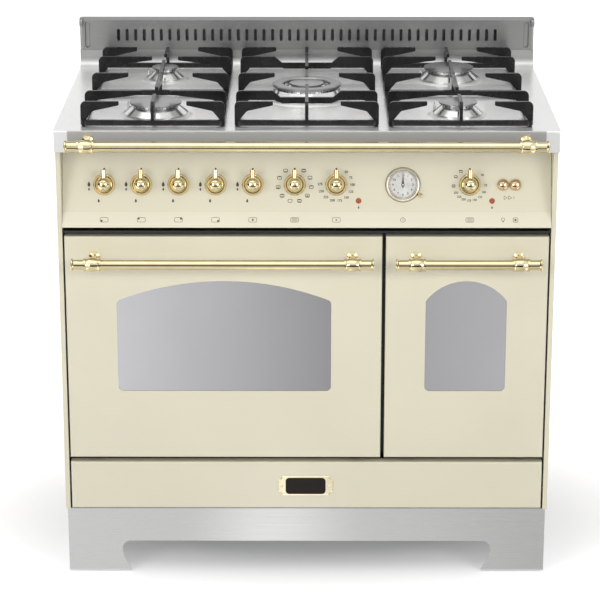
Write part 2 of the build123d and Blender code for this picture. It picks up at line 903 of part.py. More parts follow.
# Knobs: spindle, collar, neck and ball turned together, with a flared lever
knob_nodes = [f"gas_knob_{i + 1}" for i in range(gas_knob_count)]
knob_nodes += ["function_knob", "thermostat_knob", "small_oven_knob"]
collar_base = rosette_height + seat_gap
collar_top = collar_base + knob_collar_height
neck_top = collar_top + knob_neck_height
ball_middle = neck_top + (knob_ball_radius**2 - knob_neck_radius**2) ** 0.5
for node, x in zip(knob_nodes, gas_knob_xs + oven_knob_xs):
    spot = on_panel(x, knob_row)
    with BuildPart() as knob:
        with BuildSketch(lathe_plane(spot, panel_normal)):
            with BuildLine():
                Polyline(
                    (0, ball_middle + knob_ball_radius),
                    (0, -sheet - spindle_engagement),
                    (spindle_radius, -sheet - spindle_engagement),
                    (spindle_radius, collar_base),
                    (knob_collar_radius, collar_base),
                    (knob_collar_radius, collar_top),
                    (knob_neck_radius, collar_top + knob_neck_height / 2),
                    (knob_neck_radius, neck_top),
                )
                ThreePointArc(
                    (knob_neck_radius, neck_top),
                    (knob_ball_radius, ball_middle),
                    (0, ball_middle + knob_ball_radius),
                )
            make_face()
        revolve(axis=Axis(spot, panel_normal))
        with Locations(Plane(spot + panel_normal * ball_middle, x_dir=(1, 0, 0), z_dir=panel_up)):
            Cone(
                lever_root_radius,
                lever_tip_radius,
                lever_length,
                align=(Align.CENTER, Align.CENTER, Align.MIN),
            )
        tip_edge = knob.edges().filter_by(GeomType.CIRCLE).sort_by(Axis(spot, panel_up))[-1]
        fillet(tip_edge, radius=lever_tip_edge)
    save(knob.part, node)

# Gas taps, oven switches, button switches and the set stud's bearing, all behind the panel
with BuildPart() as control_bodies:
    for x in gas_knob_xs:
        turn(
            on_panel(x, knob_row), panel_normal,
            (spindle_radius + running_gap, -sheet),
            (tap_radius, -sheet),
            (tap_radius, -tap_end),
            (0, -tap_end),
            (0, -2 * sheet - spindle_engagement),
            (spindle_radius + running_gap, -2 * sheet - spindle_engagement),
        )
    boxes = [(x, switch_size, switch_depth, spindle_radius, spindle_engagement) for x in oven_knob_xs]
    button_box = (button_pitch - 2 * seat_gap, button_stem_length + button_travel, button_stem_radius)
    boxes += [(x, button_box[0], button_box[1] + 2 * sheet, button_box[2], button_box[1]) for x in button_xs]
    for x, size, depth, stem, stem_depth in boxes:
        with BuildSketch(panel_plane.offset(-sheet)):
            with Locations((x, knob_row)):
                Rectangle(size, size)
        extrude(amount=-depth)
        with BuildSketch(panel_plane.offset(-sheet)):
            with Locations((x, knob_row)):
                Circle(stem + running_gap)
        extrude(amount=-stem_depth - sheet, mode=Mode.SUBTRACT)
    stud_bore = stud_stem_radius + running_gap
    turn(
        on_panel(stud_x, stud_row), panel_normal,
        (stud_bore, -sheet),
        (2 * stud_bore, -sheet),
        (2 * stud_bore, -sheet - stud_stem_length),
        (stud_bore, -sheet - stud_stem_length),
    )
save(control_bodies.part, "control_bodies")

# Gas manifold: a pipe along the taps, back past the oven to a threaded inlet at the rear
inlet_face_y = back_y - inlet_setback
inlet_foot_y = inlet_face_y - inlet_length
manifold_end_x = gas_knob_xs[-1] + manifold_overrun
with BuildPart() as gas_manifold:
    with BuildLine() as manifold_path:
        FilletPolyline(
            (manifold_end_x, manifold_point.Y, manifold_point.Z),
            (manifold_left_x, manifold_point.Y, manifold_point.Z),
            (manifold_left_x, inlet_foot_y, manifold_point.Z),
            radius=manifold_bend,
        )
    with BuildSketch(Plane(manifold_path.line @ 0, z_dir=manifold_path.line % 0)):
        Circle(manifold_radius)
    sweep()
    turn(
        Vector(manifold_left_x, inlet_foot_y, manifold_point.Z), (0, 1, 0),
        (0, -inlet_nut_length),
        (inlet_nut_radius, -inlet_nut_length),
        (inlet_nut_radius, 0),
        (inlet_radius, 0),
        (inlet_radius, inlet_length),
        (0, inlet_length),
    )
save(gas_manifold.part, "gas_manifold")

# Clock: bezel, dial floor, cup, movement and the post that carries the hands
clock_spot = on_panel(clock_x, knob_row)
hour_base = dial_height + hand_spacing
minute_base = hour_base + hand_thickness + hand_spacing
post_top = minute_base + hand_thickness + hand_spacing
glass_base = post_top + hand_spacing
bezel_bore = bezel_radius - bezel_rim
with BuildPart() as clock_case:
    turn(
        clock_spot, panel_normal,
        (0, post_top),
        (hand_post_radius, post_top),
        (hand_post_radius, dial_height),
        (bezel_bore - sheet, dial_height),
        (bezel_bore - sheet, glass_base),
        (bezel_bore, glass_base),
        (bezel_bore, bezel_height),
        (bezel_radius - bezel_rim / 2, bezel_height + bezel_rim / 4),
        (bezel_radius - bezel_rim / 4, bezel_height),
        (bezel_radius, bezel_height / 2),
        (bezel_radius, 0),
        (clock_cup_radius, 0),
        (clock_cup_radius, -clock_cup_depth),
        (clock_cup_radius - sheet, -clock_cup_depth),
        (clock_cup_radius - sheet, dial_height - sheet),
        (clock_cup_radius / 2, dial_height - sheet),
        (clock_cup_radius / 2, -clock_cup_depth * 0.8),
        (0, -clock_cup_depth * 0.8),
    )
save(clock_case.part, "clock_case")

# Clock glass
with BuildPart() as clock_glass:
    turn(
        clock_spot, panel_normal,
        (0, glass_base),
        (bezel_bore - seat_gap, glass_base),
        (bezel_bore - seat_gap, glass_base + clock_glass_thickness),
        (0, glass_base + clock_glass_thickness),
    )
save(clock_glass.part, "clock_glass")

# Clock hands, both at twelve
for node, base, length, width in (
    ("clock_hour_hand", hour_base, hour_hand_length, hand_width * 1.3),
    ("clock_minute_hand", minute_base, minute_hand_length, hand_width),
):
    with BuildPart() as clock_hand:
        with BuildSketch(panel_plane.offset(base)):
            with Locations((clock_x, knob_row)):
                Circle(hand_hub_radius)
            with BuildLine():
                Polyline(
                    (clock_x - width / 4, knob_row - length / 3),
                    (clock_x + width / 4, knob_row - length / 3),
                    (clock_x + width / 2, knob_row),
                    (clock_x + width / 8, knob_row + length),
                    (clock_x - width / 8, knob_row + length),
                    (clock_x - width / 2, knob_row),
                    close=True,
                )
            make_face()
            with Locations((clock_x, knob_row)):
                Circle(hand_post_radius + running_gap, mode=Mode.SUBTRACT)
        extrude(amount=hand_thickness)
    save(clock_hand.part, node)

# Clock set stud
with BuildPart() as clock_set_stud:
    turn(
        on_panel(stud_x, stud_row), panel_normal,
        (0, -stud_stem_length),
        (stud_stem_radius, -stud_stem_length),
        (stud_stem_radius, seat_gap),
        (stud_radius * 1.2, seat_gap),
        (stud_radius * 1.2, stud_height * 0.25),
        (stud_radius * 0.8, stud_height * 0.35),
        (stud_radius, stud_height * 0.6),
        (stud_radius, stud_height * 0.85),
        (stud_radius * 0.6, stud_height),
        (0, stud_height),
    )
save(clock_set_stud.part, "clock_set_stud")

# Pilot lamps
with BuildPart() as pilot_lamps:
    for x in lamp_xs:
        turn(
            on_panel(x, lamp_row), panel_normal,
            (0, -lamp_stem_length),
            (lamp_stem_radius, -lamp_stem_length),
            (lamp_stem_radius, 0),
            (lamp_radius, 0),
            (lamp_radius, lamp_height / 3),
            (lamp_radius * 0.7, lamp_height * 0.85),
            (0, lamp_height),
        )
save(pilot_lamps.part, "pilot_lamps")

# Push buttons: a domed cap on a stem, held off the panel by its travel
cap_base = button_travel + seat_gap
for node, x in zip(("light_button", "ignition_button"), button_xs):
    spot = on_panel(x, knob_row)
    with BuildPart() as button:
        with BuildSketch(lathe_plane(spot, panel_normal)):
            with BuildLine():
                Polyline(
                    (0, button_height),
                    (0, -button_stem_length),
                    (button_stem_radius, -button_stem_length),
                    (button_stem_radius, cap_base),
                    (button_radius, cap_base),
                    (button_radius, button_height - button_dome),
                )
                dome(button_radius, button_height - button_dome, button_dome)
            make_face()
        revolve(axis=Axis(spot, panel_normal))
    save(button.part, node)


def turned_bar(left, right, y, z):
    """A round bar along X with a turned disc at each end."""
    length = right - left
    disc = [
        (finial_flange_radius - finial_edge, 0),
        (finial_flange_radius, finial_edge),
        (finial_flange_radius, finial_flange - finial_edge),
        (finial_flange_radius - finial_edge, finial_flange),
        (bar_radius, finial_flange + finial_neck),
    ]
    far_disc = [(radius, length - along) for radius, along in reversed(disc)]
    turn(Vector(left, y, z), (1, 0, 0), (0, 0), *disc, *far_disc, (0, length))


def bar_post(x, y, z, foot_y):
    """A turned collar round a bar, on a neck and a round foot against the face behind it."""
    turn(
        Vector(x, foot_y, z), (0, -1, 0),
        (0, 0),
        (post_base_radius, 0),
        (post_base_radius, post_base_height * 0.6),
        (post_neck_radius, post_base_height),
        (post_neck_radius, foot_y - y),
        (0, foot_y - y),
    )
    collar_spot = Vector(x - collar_length / 2, y, z)
    rim_radius = (collar_radius + collar_waist_radius) / 2
    with BuildSketch(lathe_plane(collar_spot, (1, 0, 0))) as section:
        with BuildLine():
            Polyline(
                (collar_waist_radius, collar_length - 1.5 * collar_rim),
                (rim_radius, collar_length - collar_rim),
                (rim_radius, collar_length),
                (0, collar_length),
                (0, 0),
                (rim_radius, 0),
                (rim_radius, collar_rim),
                (collar_waist_radius, 1.5 * collar_rim),
            )
            ThreePointArc(
                (collar_waist_radius, 1.5 * collar_rim),
                (collar_radius, collar_length / 2),
                (collar_waist_radius, collar_length - 1.5 * collar_rim),
            )
        make_face()
    revolve(section.sketch, axis=Axis(collar_spot, (1, 0, 0)))
    with Locations(Plane((x, y, z), z_dir=(1, 0, 0))):
        Cylinder(bar_radius + bar_slip, 2 * collar_length, mode=Mode.SUBTRACT)


# Front rail and its posts
rail_y = lip_y - rail_standoff
rail_half = cooker_width / 2 - rail_end_gap
with BuildPart() as front_rail:
    turned_bar(-rail_half, rail_half, rail_y, rail_z)
save(front_rail.part, "front_rail")

with BuildPart() as front_rail_posts:
    for x in (rail_post_inset - rail_half, rail_half - rail_post_inset):
        bar_post(x, rail_y, rail_z, lip_y)
save(front_rail_posts.part, "front_rail_posts")


def window_outline(middle, width, grow):
    """The arched window, grown by a lap on every side."""
    half = width / 2 + grow
    low = window_bottom - grow
    shoulder = window_shoulder + grow / 2
    with BuildLine() as outline:
        Polyline(
            (middle + half, shoulder),
            (middle + half, low),
            (middle - half, low),
            (middle - half, shoulder),
        )
        ThreePointArc((middle - half, shoulder), (middle, window_top + grow), (middle + half, shoulder))
    opening = make_face(outline.edges())
    fillet(opening.vertices(), radius=window_corner)


def hinge_xs(span):
    """The two hinge places of a door."""
    return (span[0] + hinge_inset, span[1] - hinge_inset)


# Doors: a pressed tray with hinge ears and pins, two panes, a liner, a bar handle and its posts
ear_reach = hinge_width / 2 + hinge_side_gap
notch_half = ear_reach + hinge_ear + hinge_side_gap
for name, span, width in (
    ("main_door", main_door_span, main_window_width),
    ("small_door", small_door_span, small_window_width),
):
    middle = sum(span) / 2
    with BuildPart() as door_panel:
        block((span[0], door_y, door_bottom), (span[1], door_y + door_depth, door_top))
        fillet(door_panel.edges().group_by(Axis.Y)[0], radius=door_edge_radius)
        offset(amount=-sheet, openings=door_panel.faces().sort_by(Axis.Y)[-1])
        with BuildSketch(Plane.XZ.offset(-door_y)):
            window_outline(middle, width, 0)
        extrude(amount=-2 * sheet, mode=Mode.SUBTRACT)
        for x in hinge_xs(span):
            block(
                (x - notch_half, door_y + 2 * door_edge_radius, door_bottom),
                (x + notch_half, door_y + door_depth, door_bottom + sheet),
                mode=Mode.SUBTRACT,
            )
            for way in (-1, 1):
                low_x = x + way * (ear_reach + hinge_ear / 2) - hinge_ear / 2
                block(
                    (low_x, door_y + sheet, hinge_z - hinge_knuckle_radius),
                    (low_x + hinge_ear, hinge_y, hinge_z + hinge_knuckle_radius),
                )
                with Locations(Plane((low_x + hinge_ear / 2, hinge_y, hinge_z), z_dir=(1, 0, 0))):
                    Cylinder(hinge_knuckle_radius, hinge_ear)
            with Locations(Plane((x, hinge_y, hinge_z), z_dir=(1, 0, 0))):
                Cylinder(hinge_pin_radius, 2 * ear_reach + hinge_ear)
    save(door_panel.part, f"{name}_panel")

    with BuildPart() as door_glass:
        for pane_y in (door_y + sheet, liner_back_y - sheet - glass_thickness):
            with BuildSketch(Plane.XZ.offset(-pane_y)):
                window_outline(middle, width, glass_lap)
            extrude(amount=-glass_thickness)
    save(door_glass.part, f"{name}_glass")

    with BuildPart() as door_liner:
        block(
            (span[0] + liner_inset, liner_y, door_bottom + liner_rise),
            (span[1] - liner_inset, liner_back_y, door_top - liner_inset),
        )
        fillet(door_liner.edges().filter_by(Axis.Y), radius=liner_corner)
        fillet(door_liner.edges().group_by(Axis.Y)[-1], radius=liner_edge)
        offset(amount=-sheet, openings=door_liner.faces().sort_by(Axis.Y)[0])
        with BuildSketch(Plane.XZ.offset(-liner_back_y)):
            window_outline(middle, width, 0)
        extrude(amount=2 * sheet, mode=Mode.SUBTRACT)
    save(door_liner.part, f"{name}_liner")

    with BuildPart() as door_handle:
        turned_bar(span[0] + handle_end_gap, span[1] - handle_end_gap, handle_y, handle_z)
    save(door_handle.part, f"{name}_handle")

    with BuildPart() as door_handle_posts:
        for way in (-1, 1):
            post_half = (span[1] - span[0]) / 2 - handle_end_gap - handle_post_inset
            bar_post(middle + way * post_half, handle_y, handle_z, door_y)
    save(door_handle_posts.part, f"{name}_handle_posts")

# Hinge arms on the face frame, each with a bored knuckle
with BuildPart() as door_hinges:
    for x in hinge_xs(main_door_span) + hinge_xs(small_door_span):
        block(
            (x - hinge_width / 2, hinge_y, hinge_z - hinge_knuckle_radius),
            (x + hinge_width / 2, frame_y, hinge_z + hinge_knuckle_radius),
        )
        with Locations(Plane((x, hinge_y, hinge_z), z_dir=(1, 0, 0))):
            Cylinder(hinge_knuckle_radius, hinge_width)
            Cylinder(hinge_pin_radius + running_gap, hinge_width, mode=Mode.SUBTRACT)
save(door_hinges.part, "door_hinges")

# Ovens: a box with a front flange, and a fan hole in the back of the main one
ovens = ((main_door_x, main_oven_width), (small_door_x, small_oven_width))
for name, (middle, width) in zip(("main_oven", "small_oven"), ovens):
    half = width / 2
    with BuildPart() as oven_cavity:
        block(
            (middle - half - sheet, cavity_y, oven_bottom - sheet),
            (middle + half + sheet, oven_back_y + sheet, oven_top + sheet),
        )
        block(
            (middle - half - oven_flange, cavity_y, oven_bottom - oven_flange),
            (middle + half + oven_flange, cavity_y + sheet, oven_top + oven_flange),
        )
        block(
            (middle - half, cavity_y, oven_bottom),
            (middle + half, oven_back_y, oven_top),
            mode=Mode.SUBTRACT,
        )
        if name == "main_oven":
            with Locations(Plane((middle, oven_back_y, fan_z), z_dir=(0, 1, 0))):
                Cylinder(fan_shaft_radius + spindle_passage, 4 * sheet, mode=Mode.SUBTRACT)
    save(oven_cavity.part, f"{name}_cavity")

# Door seals: a ring on the face frame round each oven
with BuildPart() as door_seals:
    for middle, width in ovens:
        with BuildSketch(Plane.XZ.offset(-frame_y)):
            with Locations((middle, oven_middle)):
                ring_width = width + 2 * (seal_lap + seal_width)
                ring_height = oven_top - oven_bottom + 2 * (seal_lap + seal_width)
                RectangleRounded(ring_width, ring_height, seal_lap + seal_width)
                RectangleRounded(
                    ring_width - 2 * seal_width,
                    ring_height - 2 * seal_width,
                    seal_lap,
                    mode=Mode.SUBTRACT,
                )
        extrude(amount=seal_thickness)
save(door_seals.part, "door_seals")

# Shelf guides on the oven walls, with a wire shelf resting on one level in each oven
guide_front_y = cavity_y + guide_front_gap
guide_back_y = oven_back_y - guide_back_gap
guide_length = guide_back_y - guide_front_y
guide_bottom = oven_bottom + guide_end_gap
guide_top = oven_top - guide_end_gap
guide_rise = (guide_top - guide_bottom) / (guide_levels + 1)
shelf_base = guide_bottom + shelf_level * guide_rise + guide_ledge_height
shelf_top = shelf_base + shelf_bar
with BuildPart() as oven_racks:
    for middle, width in ovens:
        half = width / 2
        for way in (-1, 1):
            wall = middle + way * half
            face = wall - way * guide_thickness
            ledge = face - way * guide_ledge
            for y in (guide_front_y, guide_back_y - guide_bar):
                block(
                    (min(wall, face), y, guide_bottom),
                    (max(wall, face), y + guide_bar, guide_top),
                )
            for level in range(guide_levels):
                z = guide_bottom + (level + 1) * guide_rise
                block(
                    (min(wall, ledge), guide_front_y, z),
                    (max(wall, ledge), guide_back_y, z + guide_ledge_height),
                )
    for (middle, width), wires in zip(ovens, (main_shelf_wires, small_shelf_wires)):
        half = width / 2 - guide_thickness - shelf_side_gap
        for way in (-1, 1):
            edge = middle + way * half
            inner = edge - way * shelf_bar
            block((min(edge, inner), guide_front_y, shelf_base), (max(edge, inner), guide_back_y, shelf_top))
        for y in (guide_front_y, guide_back_y - shelf_bar):
            block((middle - half, y, shelf_base), (middle + half, y + shelf_bar, shelf_top))
        wire_spot = (middle, guide_front_y + guide_length / 2, shelf_base + shelf_bar / 2)
        with Locations(Plane(wire_spot, x_dir=(1, 0, 0), z_dir=(0, 1, 0))):
            with GridLocations(2 * half / (wires + 1), 0, wires, 1):
                Cylinder(shelf_wire / 2, guide_length - shelf_bar)
save(oven_racks.part, "oven_racks")

# Convection fan: plate, blades and a shaft into the motor
fan_spot = Vector(main_door_x, fan_y, fan_z)
shaft_end = fan_wall_gap + sheet + fan_shaft_length
with BuildPart() as convection_fan:
    turn(
        fan_spot, (0, 1, 0),
        (0, -fan_blade_depth),
        (fan_hub_radius, -fan_blade_depth),
        (fan_hub_radius, -fan_plate),
        (fan_radius, -fan_plate),
        (fan_radius, 0),
        (fan_shaft_radius, 0),
        (fan_shaft_radius, shaft_end),
        (0, shaft_end),
    )
    with Locations(Plane(fan_spot - Vector(0, fan_blade_depth / 2, 0), x_dir=(1, 0, 0), z_dir=(0, -1, 0))):
        with PolarLocations((fan_radius + 2 * fan_hub_radius) / 2, fan_blades):
            Box(fan_radius - 2 * fan_hub_radius, fan_blade_thickness, fan_blade_depth)
save(convection_fan.part, "convection_fan")

# Fan motor behind the oven, bored for the shaft
with BuildPart() as fan_motor:
    turn(
        Vector(main_door_x, oven_back_y + sheet, fan_z), (0, 1, 0),
        (fan_shaft_radius + running_gap, 0),
        (motor_radius, 0),
        (motor_radius, motor_length * 0.8),
        (motor_radius * 0.8, motor_length),
        (0, motor_length),
        (0, fan_shaft_length + sheet),
        (fan_shaft_radius + running_gap, fan_shaft_length + sheet),
    )
save(fan_motor.part, "fan_motor")

# Fan cover: a shallow box on the oven's back wall, with two rings of holes
with BuildPart() as fan_cover:
    half = fan_cover_width / 2
    cover_y = oven_back_y - fan_cover_depth
    block(
        (main_door_x - half, cover_y, fan_z - fan_cover_height / 2),
        (main_door_x + half, oven_back_y, fan_z + fan_cover_height / 2),
    )
    fillet(fan_cover.edges().filter_by(Axis.Y), radius=fan_cover_corner)
    fillet(fan_cover.edges().group_by(Axis.Y)[0], radius=2 * sheet)
    offset(amount=-sheet, openings=fan_cover.faces().sort_by(Axis.Y)[-1])
    with BuildSketch(Plane.XZ.offset(-cover_y)):
        with Locations((main_door_x, fan_z)):
            for share, holes in zip(fan_cover_ring_shares, fan_cover_ring_holes):
                with PolarLocations(fan_radius * share, holes):
                    Circle(fan_cover_hole_radius)
    extrude(amount=-sheet, mode=Mode.SUBTRACT)
save(fan_cover.part, "fan_cover")

# Heating elements: a ring round the fan, and a bent grill rod under each oven's roof
with BuildPart() as heating_elements:
    ring_y = fan_y - fan_blade_depth / 2
    ring_spot = Vector(main_door_x, ring_y, fan_z)
    with Locations(Plane(ring_spot, z_dir=(0, 1, 0))):
        Torus(ring_element_radius, element_radius)
    for way in (-1, 1):
        leg_spot = (main_door_x + way * ring_element_leg, (ring_y + oven_back_y) / 2)
        leg_reach = ring_element_radius + ring_element_leg_out
        leg_z = fan_z + (leg_reach**2 - ring_element_leg**2) ** 0.5
        with Locations(Plane((*leg_spot, leg_z), z_dir=(0, 1, 0))):
            Cylinder(ring_element_leg_radius, oven_back_y - ring_y)
    for middle, width in ovens:
        half = width / 2 - grill_side_gap
        rod_z = oven_top - grill_drop
        rod_y = cavity_y + grill_front_gap
        with BuildLine() as rod_path:
            FilletPolyline(
                (middle - half, oven_back_y, rod_z),
                (middle - half, rod_y, rod_z),
                (middle + half, rod_y, rod_z),
                (middle + half, oven_back_y, rod_z),
                radius=grill_bend,
            )
        with BuildSketch(Plane(rod_path.line @ 0, z_dir=rod_path.line % 0)):
            Circle(element_radius)
        sweep(path=rod_path.line)
save(heating_elements.part, "heating_elements")

# Drawer front: a pressed tray like the doors
with BuildPart() as drawer_front:
    block((-door_half, door_y, drawer_bottom), (door_half, door_y + drawer_front_depth, drawer_top))
    fillet(drawer_front.edges().group_by(Axis.Y)[0], radius=door_edge_radius)
    offset(amount=-sheet, openings=drawer_front.faces().sort_by(Axis.Y)[-1])
save(drawer_front.part, "drawer_front")

# Drawer box: a front plate that closes the tray, an open box and a runner flange on each side
box_y = door_y + drawer_front_depth
box_back_y = back_panel_y - drawer_rear_space
box_half = inner_half - drawer_side_space
box_floor = drawer_bottom + drawer_box_rise
box_top = box_floor + drawer_box_height
flange_z = box_floor + drawer_flange_rise
with BuildPart() as drawer_box:
    block(
        (-door_half + liner_inset, box_y, drawer_bottom + liner_inset),
        (door_half - liner_inset, box_y + sheet, drawer_top - liner_inset),
    )
    block((-box_half, box_y, box_floor), (box_half, box_back_y, box_top))
    block(
        (sheet - box_half, box_y + sheet, box_floor + sheet),
        (box_half - sheet, box_back_y - sheet, box_top),
        mode=Mode.SUBTRACT,
    )
    for way in (-1, 1):
        inner = way * box_half
        outer = inner + way * drawer_flange
        block(
            (min(inner, outer), stile_y + cheek_depth, flange_z),
            (max(inner, outer), box_back_y, flange_z + drawer_flange_thickness),
        )
save(drawer_box.part, "drawer_box")

# Runners: a channel on each side wall that holds the drawer's flange
runner_y = stile_y + cheek_depth + seat_gap
with BuildPart() as drawer_runners:
    for way in (-1, 1):
        wall = way * inner_half
        face = way * (box_half + seat_gap)
        slot = way * (box_half + drawer_flange + seat_gap)
        runner_z = flange_z + drawer_flange_thickness / 2
        block(
            (min(wall, face), runner_y, runner_z - runner_height / 2),
            (max(wall, face), back_panel_y - runner_back_gap, runner_z + runner_height / 2),
        )
        block(
            (min(face, slot), runner_y, flange_z - seat_gap),
            (max(face, slot), back_panel_y - runner_back_gap, flange_z + drawer_flange_thickness + seat_gap),
            mode=Mode.SUBTRACT,
        )
save(drawer_runners.part, "drawer_runners")

# Cable gland in the back panel: flange outside, locknut inside, a clear bore through
with BuildPart() as cable_gland:
    turn(
        Vector(inner_half - gland_side_gap, back_panel_y + sheet, gland_height), (0, 1, 0),
        (gland_bore_radius, -sheet - gland_inner),
        (gland_radius, -sheet - gland_inner),
        (gland_radius, -sheet - gland_flange),
        (gland_flange_radius, -sheet - gland_flange),
        (gland_flange_radius, -sheet),
        (gland_radius, -sheet),
        (gland_radius, 0),
        (gland_flange_radius, 0),
        (gland_flange_radius, gland_flange),
        (gland_bore_radius, gland_flange),
    )
save(cable_gland.part, "cable_gland")
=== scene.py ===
"""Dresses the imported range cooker: finishes, printed marks, small fittings and a studio."""
import json
from math import atan2, cos, hypot, pi, radians, sin, tau

import bmesh
import bpy
from bpy.props import FloatProperty, FloatVectorProperty, PointerProperty
from bpy.types import NodeSocket, Operator, Panel, PropertyGroup, Scene
from mathutils import Matrix, Vector


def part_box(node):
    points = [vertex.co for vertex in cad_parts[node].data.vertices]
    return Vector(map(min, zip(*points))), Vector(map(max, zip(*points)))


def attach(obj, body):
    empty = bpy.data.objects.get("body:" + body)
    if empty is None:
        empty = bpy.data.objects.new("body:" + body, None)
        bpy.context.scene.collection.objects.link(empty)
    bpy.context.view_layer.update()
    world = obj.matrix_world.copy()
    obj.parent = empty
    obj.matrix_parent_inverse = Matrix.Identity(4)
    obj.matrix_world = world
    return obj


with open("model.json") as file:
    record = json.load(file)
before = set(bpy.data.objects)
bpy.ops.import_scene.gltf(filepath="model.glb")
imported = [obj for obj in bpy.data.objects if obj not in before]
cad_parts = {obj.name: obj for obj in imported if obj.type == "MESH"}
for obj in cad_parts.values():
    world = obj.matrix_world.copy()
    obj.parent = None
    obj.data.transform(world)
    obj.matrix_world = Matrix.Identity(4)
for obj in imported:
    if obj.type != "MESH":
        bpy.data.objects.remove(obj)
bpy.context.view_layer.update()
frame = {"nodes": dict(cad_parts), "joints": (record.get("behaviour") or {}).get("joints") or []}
nodes = frame["nodes"]
joints = {joint["name"]: joint for joint in frame["joints"]}

bl_info = {
    "name": "Range cooker dressing",
    "version": (1, 0, 0),
    "blender": (4, 5, 0),
    "location": "View3D > Sidebar > Cooker",
    "description": "Finishes, printed marks and a studio for the range cooker",
    "category": "Object",
}

MM = 0.001
RIGHT, UP = (1, 0, 0), (0, 0, 1)
BUTTONS = ("light_button", "ignition_button")
OVEN_KNOBS = ("function_knob_turn", "thermostat_knob_turn", "small_oven_knob_turn")

# Corners of a rounded outline: side in x, side in y, and the angle its arc starts at
CORNERS = ((1, 1, 0), (-1, 1, 90), (-1, -1, 180), (1, -1, 270))

# Steel sheet is brushed along X, and along Y on faces that look along X
BRUSHING = (1.0, 0.001, 0.0)
SHEET_LINES = (6.0, 900.0, 900.0)

# Length of the end on either side of the hob's front band that is left bright, outside its painted
# reflection
LIP_END = 0.026

# Marks round a knob, in millimetres from its middle. Flames end with a share of the full size.
DOT_REACH = 28.4
GAS_FLAMES = ((-27.4, 1.0, 1.0), (-27.4, -8.0, 0.6), (-10.0, -28.5, 0.75))
LAMP_SPOT, LAMP_FLAME = (40, -28.8), -11.5
BUTTON_SIGN = -23.0

# First figure of a thermostat and the step to the next
FIRST_HEAT, HEAT_STEP = 50, 25
SMALL_OVEN_FIGURES = (52, 92, 118, 140, 162, 183, 203, 221, 240)
SMALL_OVEN_SIGNS = (266, 300, 326)

# Heights over the clock's seat
DIAL_HEIGHT, DIAL_PRINT = 0.84 * MM, 0.92 * MM

# Burner crowns: the pan support each lies under, how far behind the lip, and its radius
CROWNS = (
    ("left", 0.126, 0.058), ("left", 0.430, 0.0355), ("right", 0.430, 0.058),
    ("right", 0.126, 0.045), ("middle", 0.276, 0.067),
)
IGNITER_TURN, IGNITER_GAP, IGNITER_SEAT = radians(148), 0.0035, 0.020

# How far the rear screws lie in from the ends of their sheet
SCREW_INSET = 0.03


def colour(name, what, default):
    """A colour property, written as linear red, green and blue."""
    return FloatVectorProperty(
        name=name, description=what, default=default, size=3, subtype="COLOR", min=0, max=1)


def length(name, what, default_mm):
    """A length property whose default is given in millimetres."""
    return FloatProperty(name=name, description=what, default=default_mm * MM, unit="LENGTH", precision=5)


def share(name, what, default):
    """A property between nought and one."""
    return FloatProperty(name=name, description=what, default=default, min=0, max=1, subtype="FACTOR")


def angle(name, what, degrees):
    """An angle property whose default is given in degrees."""
    return FloatProperty(name=name, description=what, default=radians(degrees), unit="ROTATION")


def power(name, what, default):
    """The power of a light."""
    return FloatProperty(name=name, description=what, default=default, unit="POWER")


class CookerFinishes(PropertyGroup):
    """Colours and gloss of the cooker's surfaces."""
    cream: colour("Cream", "Gloss enamel on doors, drawer and panel", (0.692, 0.652, 0.508))
    cream_roughness: share("Enamel roughness", "Middle roughness of the enamel", 0.16)
    steel: colour("Steel", "Brushed stainless sheet", (0.82, 0.82, 0.81))
    steel_roughness: share("Steel roughness", "Middle roughness of the brushed sheet", 0.19)
    brass: colour("Brass", "Polished and lacquered brass", (0.83, 0.71, 0.43))
    rose: colour("Rose brass", "Warmer brass of the two buttons", (0.85, 0.62, 0.40))
    gilt: colour("Gilt", "Pale gilt of the clock's case", (0.82, 0.77, 0.64))
    # Plate brass is the brass made paler as painted light, for the brighter look its flat face has
    plate: colour("Plate brass", "Pale brass of the bare nameplate", (0.93, 0.83, 0.60))
    brass_roughness: share("Brass roughness", "Middle roughness of the brass", 0.06)
    iron: colour("Iron", "Satin enamel on the pan supports", (0.009, 0.009, 0.0095))
    alloy: colour("Alloy", "Polished burner crowns", (0.74, 0.74, 0.73))
    cap: colour("Burner cap", "Satin burner caps", (0.40, 0.40, 0.40))
    coating: colour("Window coating", "Mirror coating of the oven windows", (0.37, 0.366, 0.378))
    oven_black: colour("Oven enamel", "Dark enamel inside the ovens", (0.012, 0.012, 0.013))
    lamp: colour("Lamp lens", "Lens of the pilot lamps", (0.40, 0.085, 0.022))
    ink: colour("Ink", "Printed marks on the control panel", (0.035, 0.030, 0.024))


class CookerMarks(PropertyGroup):
    """Sizes of the printed marks and small fittings."""
    lift: length("Print height", "How far a print stands off its surface", 0.08)
    knob_row: length("Knob row", "Height of the knobs' middle above the panel's crease", 48.8)
    dot: length("Dot", "Diameter of the zero dot above each lever", 3.4)
    flame: length("Flame", "Height of the large flame sign", 9.0)
    number: length("Number", "Height of the temperature figures", 4.3)
    symbol: length("Symbol", "Width of the oven signs round the selector", 8.0)
    sign: length("Strip sign", "Width of the signs on the lower strip", 15.0)
    plate_width: length("Plate width", "Width of the bare nameplate", 102.0)
    plate_height: length("Plate height", "Height of the bare nameplate", 38.0)
    dial: length("Dial", "Radius of the clock's printed dial", 24.8)


class CookerStudio(PropertyGroup):
    """Camera, floor and light."""
    distance: length("Camera distance", "From the middle of the part's base to the camera, along Y", 4362.0)
    height: length("Camera height", "Height of the camera above the floor", 1823.0)
    pitch: angle("Pitch", "Camera's downward tilt", 17.44)
    yaw: angle("Yaw", "Camera's turn to the left", 0.166)
    lens: FloatProperty(name="Lens", description="Focal length on a 36 mm sensor", default=142.8, min=1)
    ambient: share("Ambient", "Strength of the plain light from all round", 0.5)
    key: power("Key light", "Power of the large overhead light", 36)
    strip: power("Strip light", "Power of the light close before the panel", 0.95)
    fill: power("Fill light", "Power of the front light", 76)


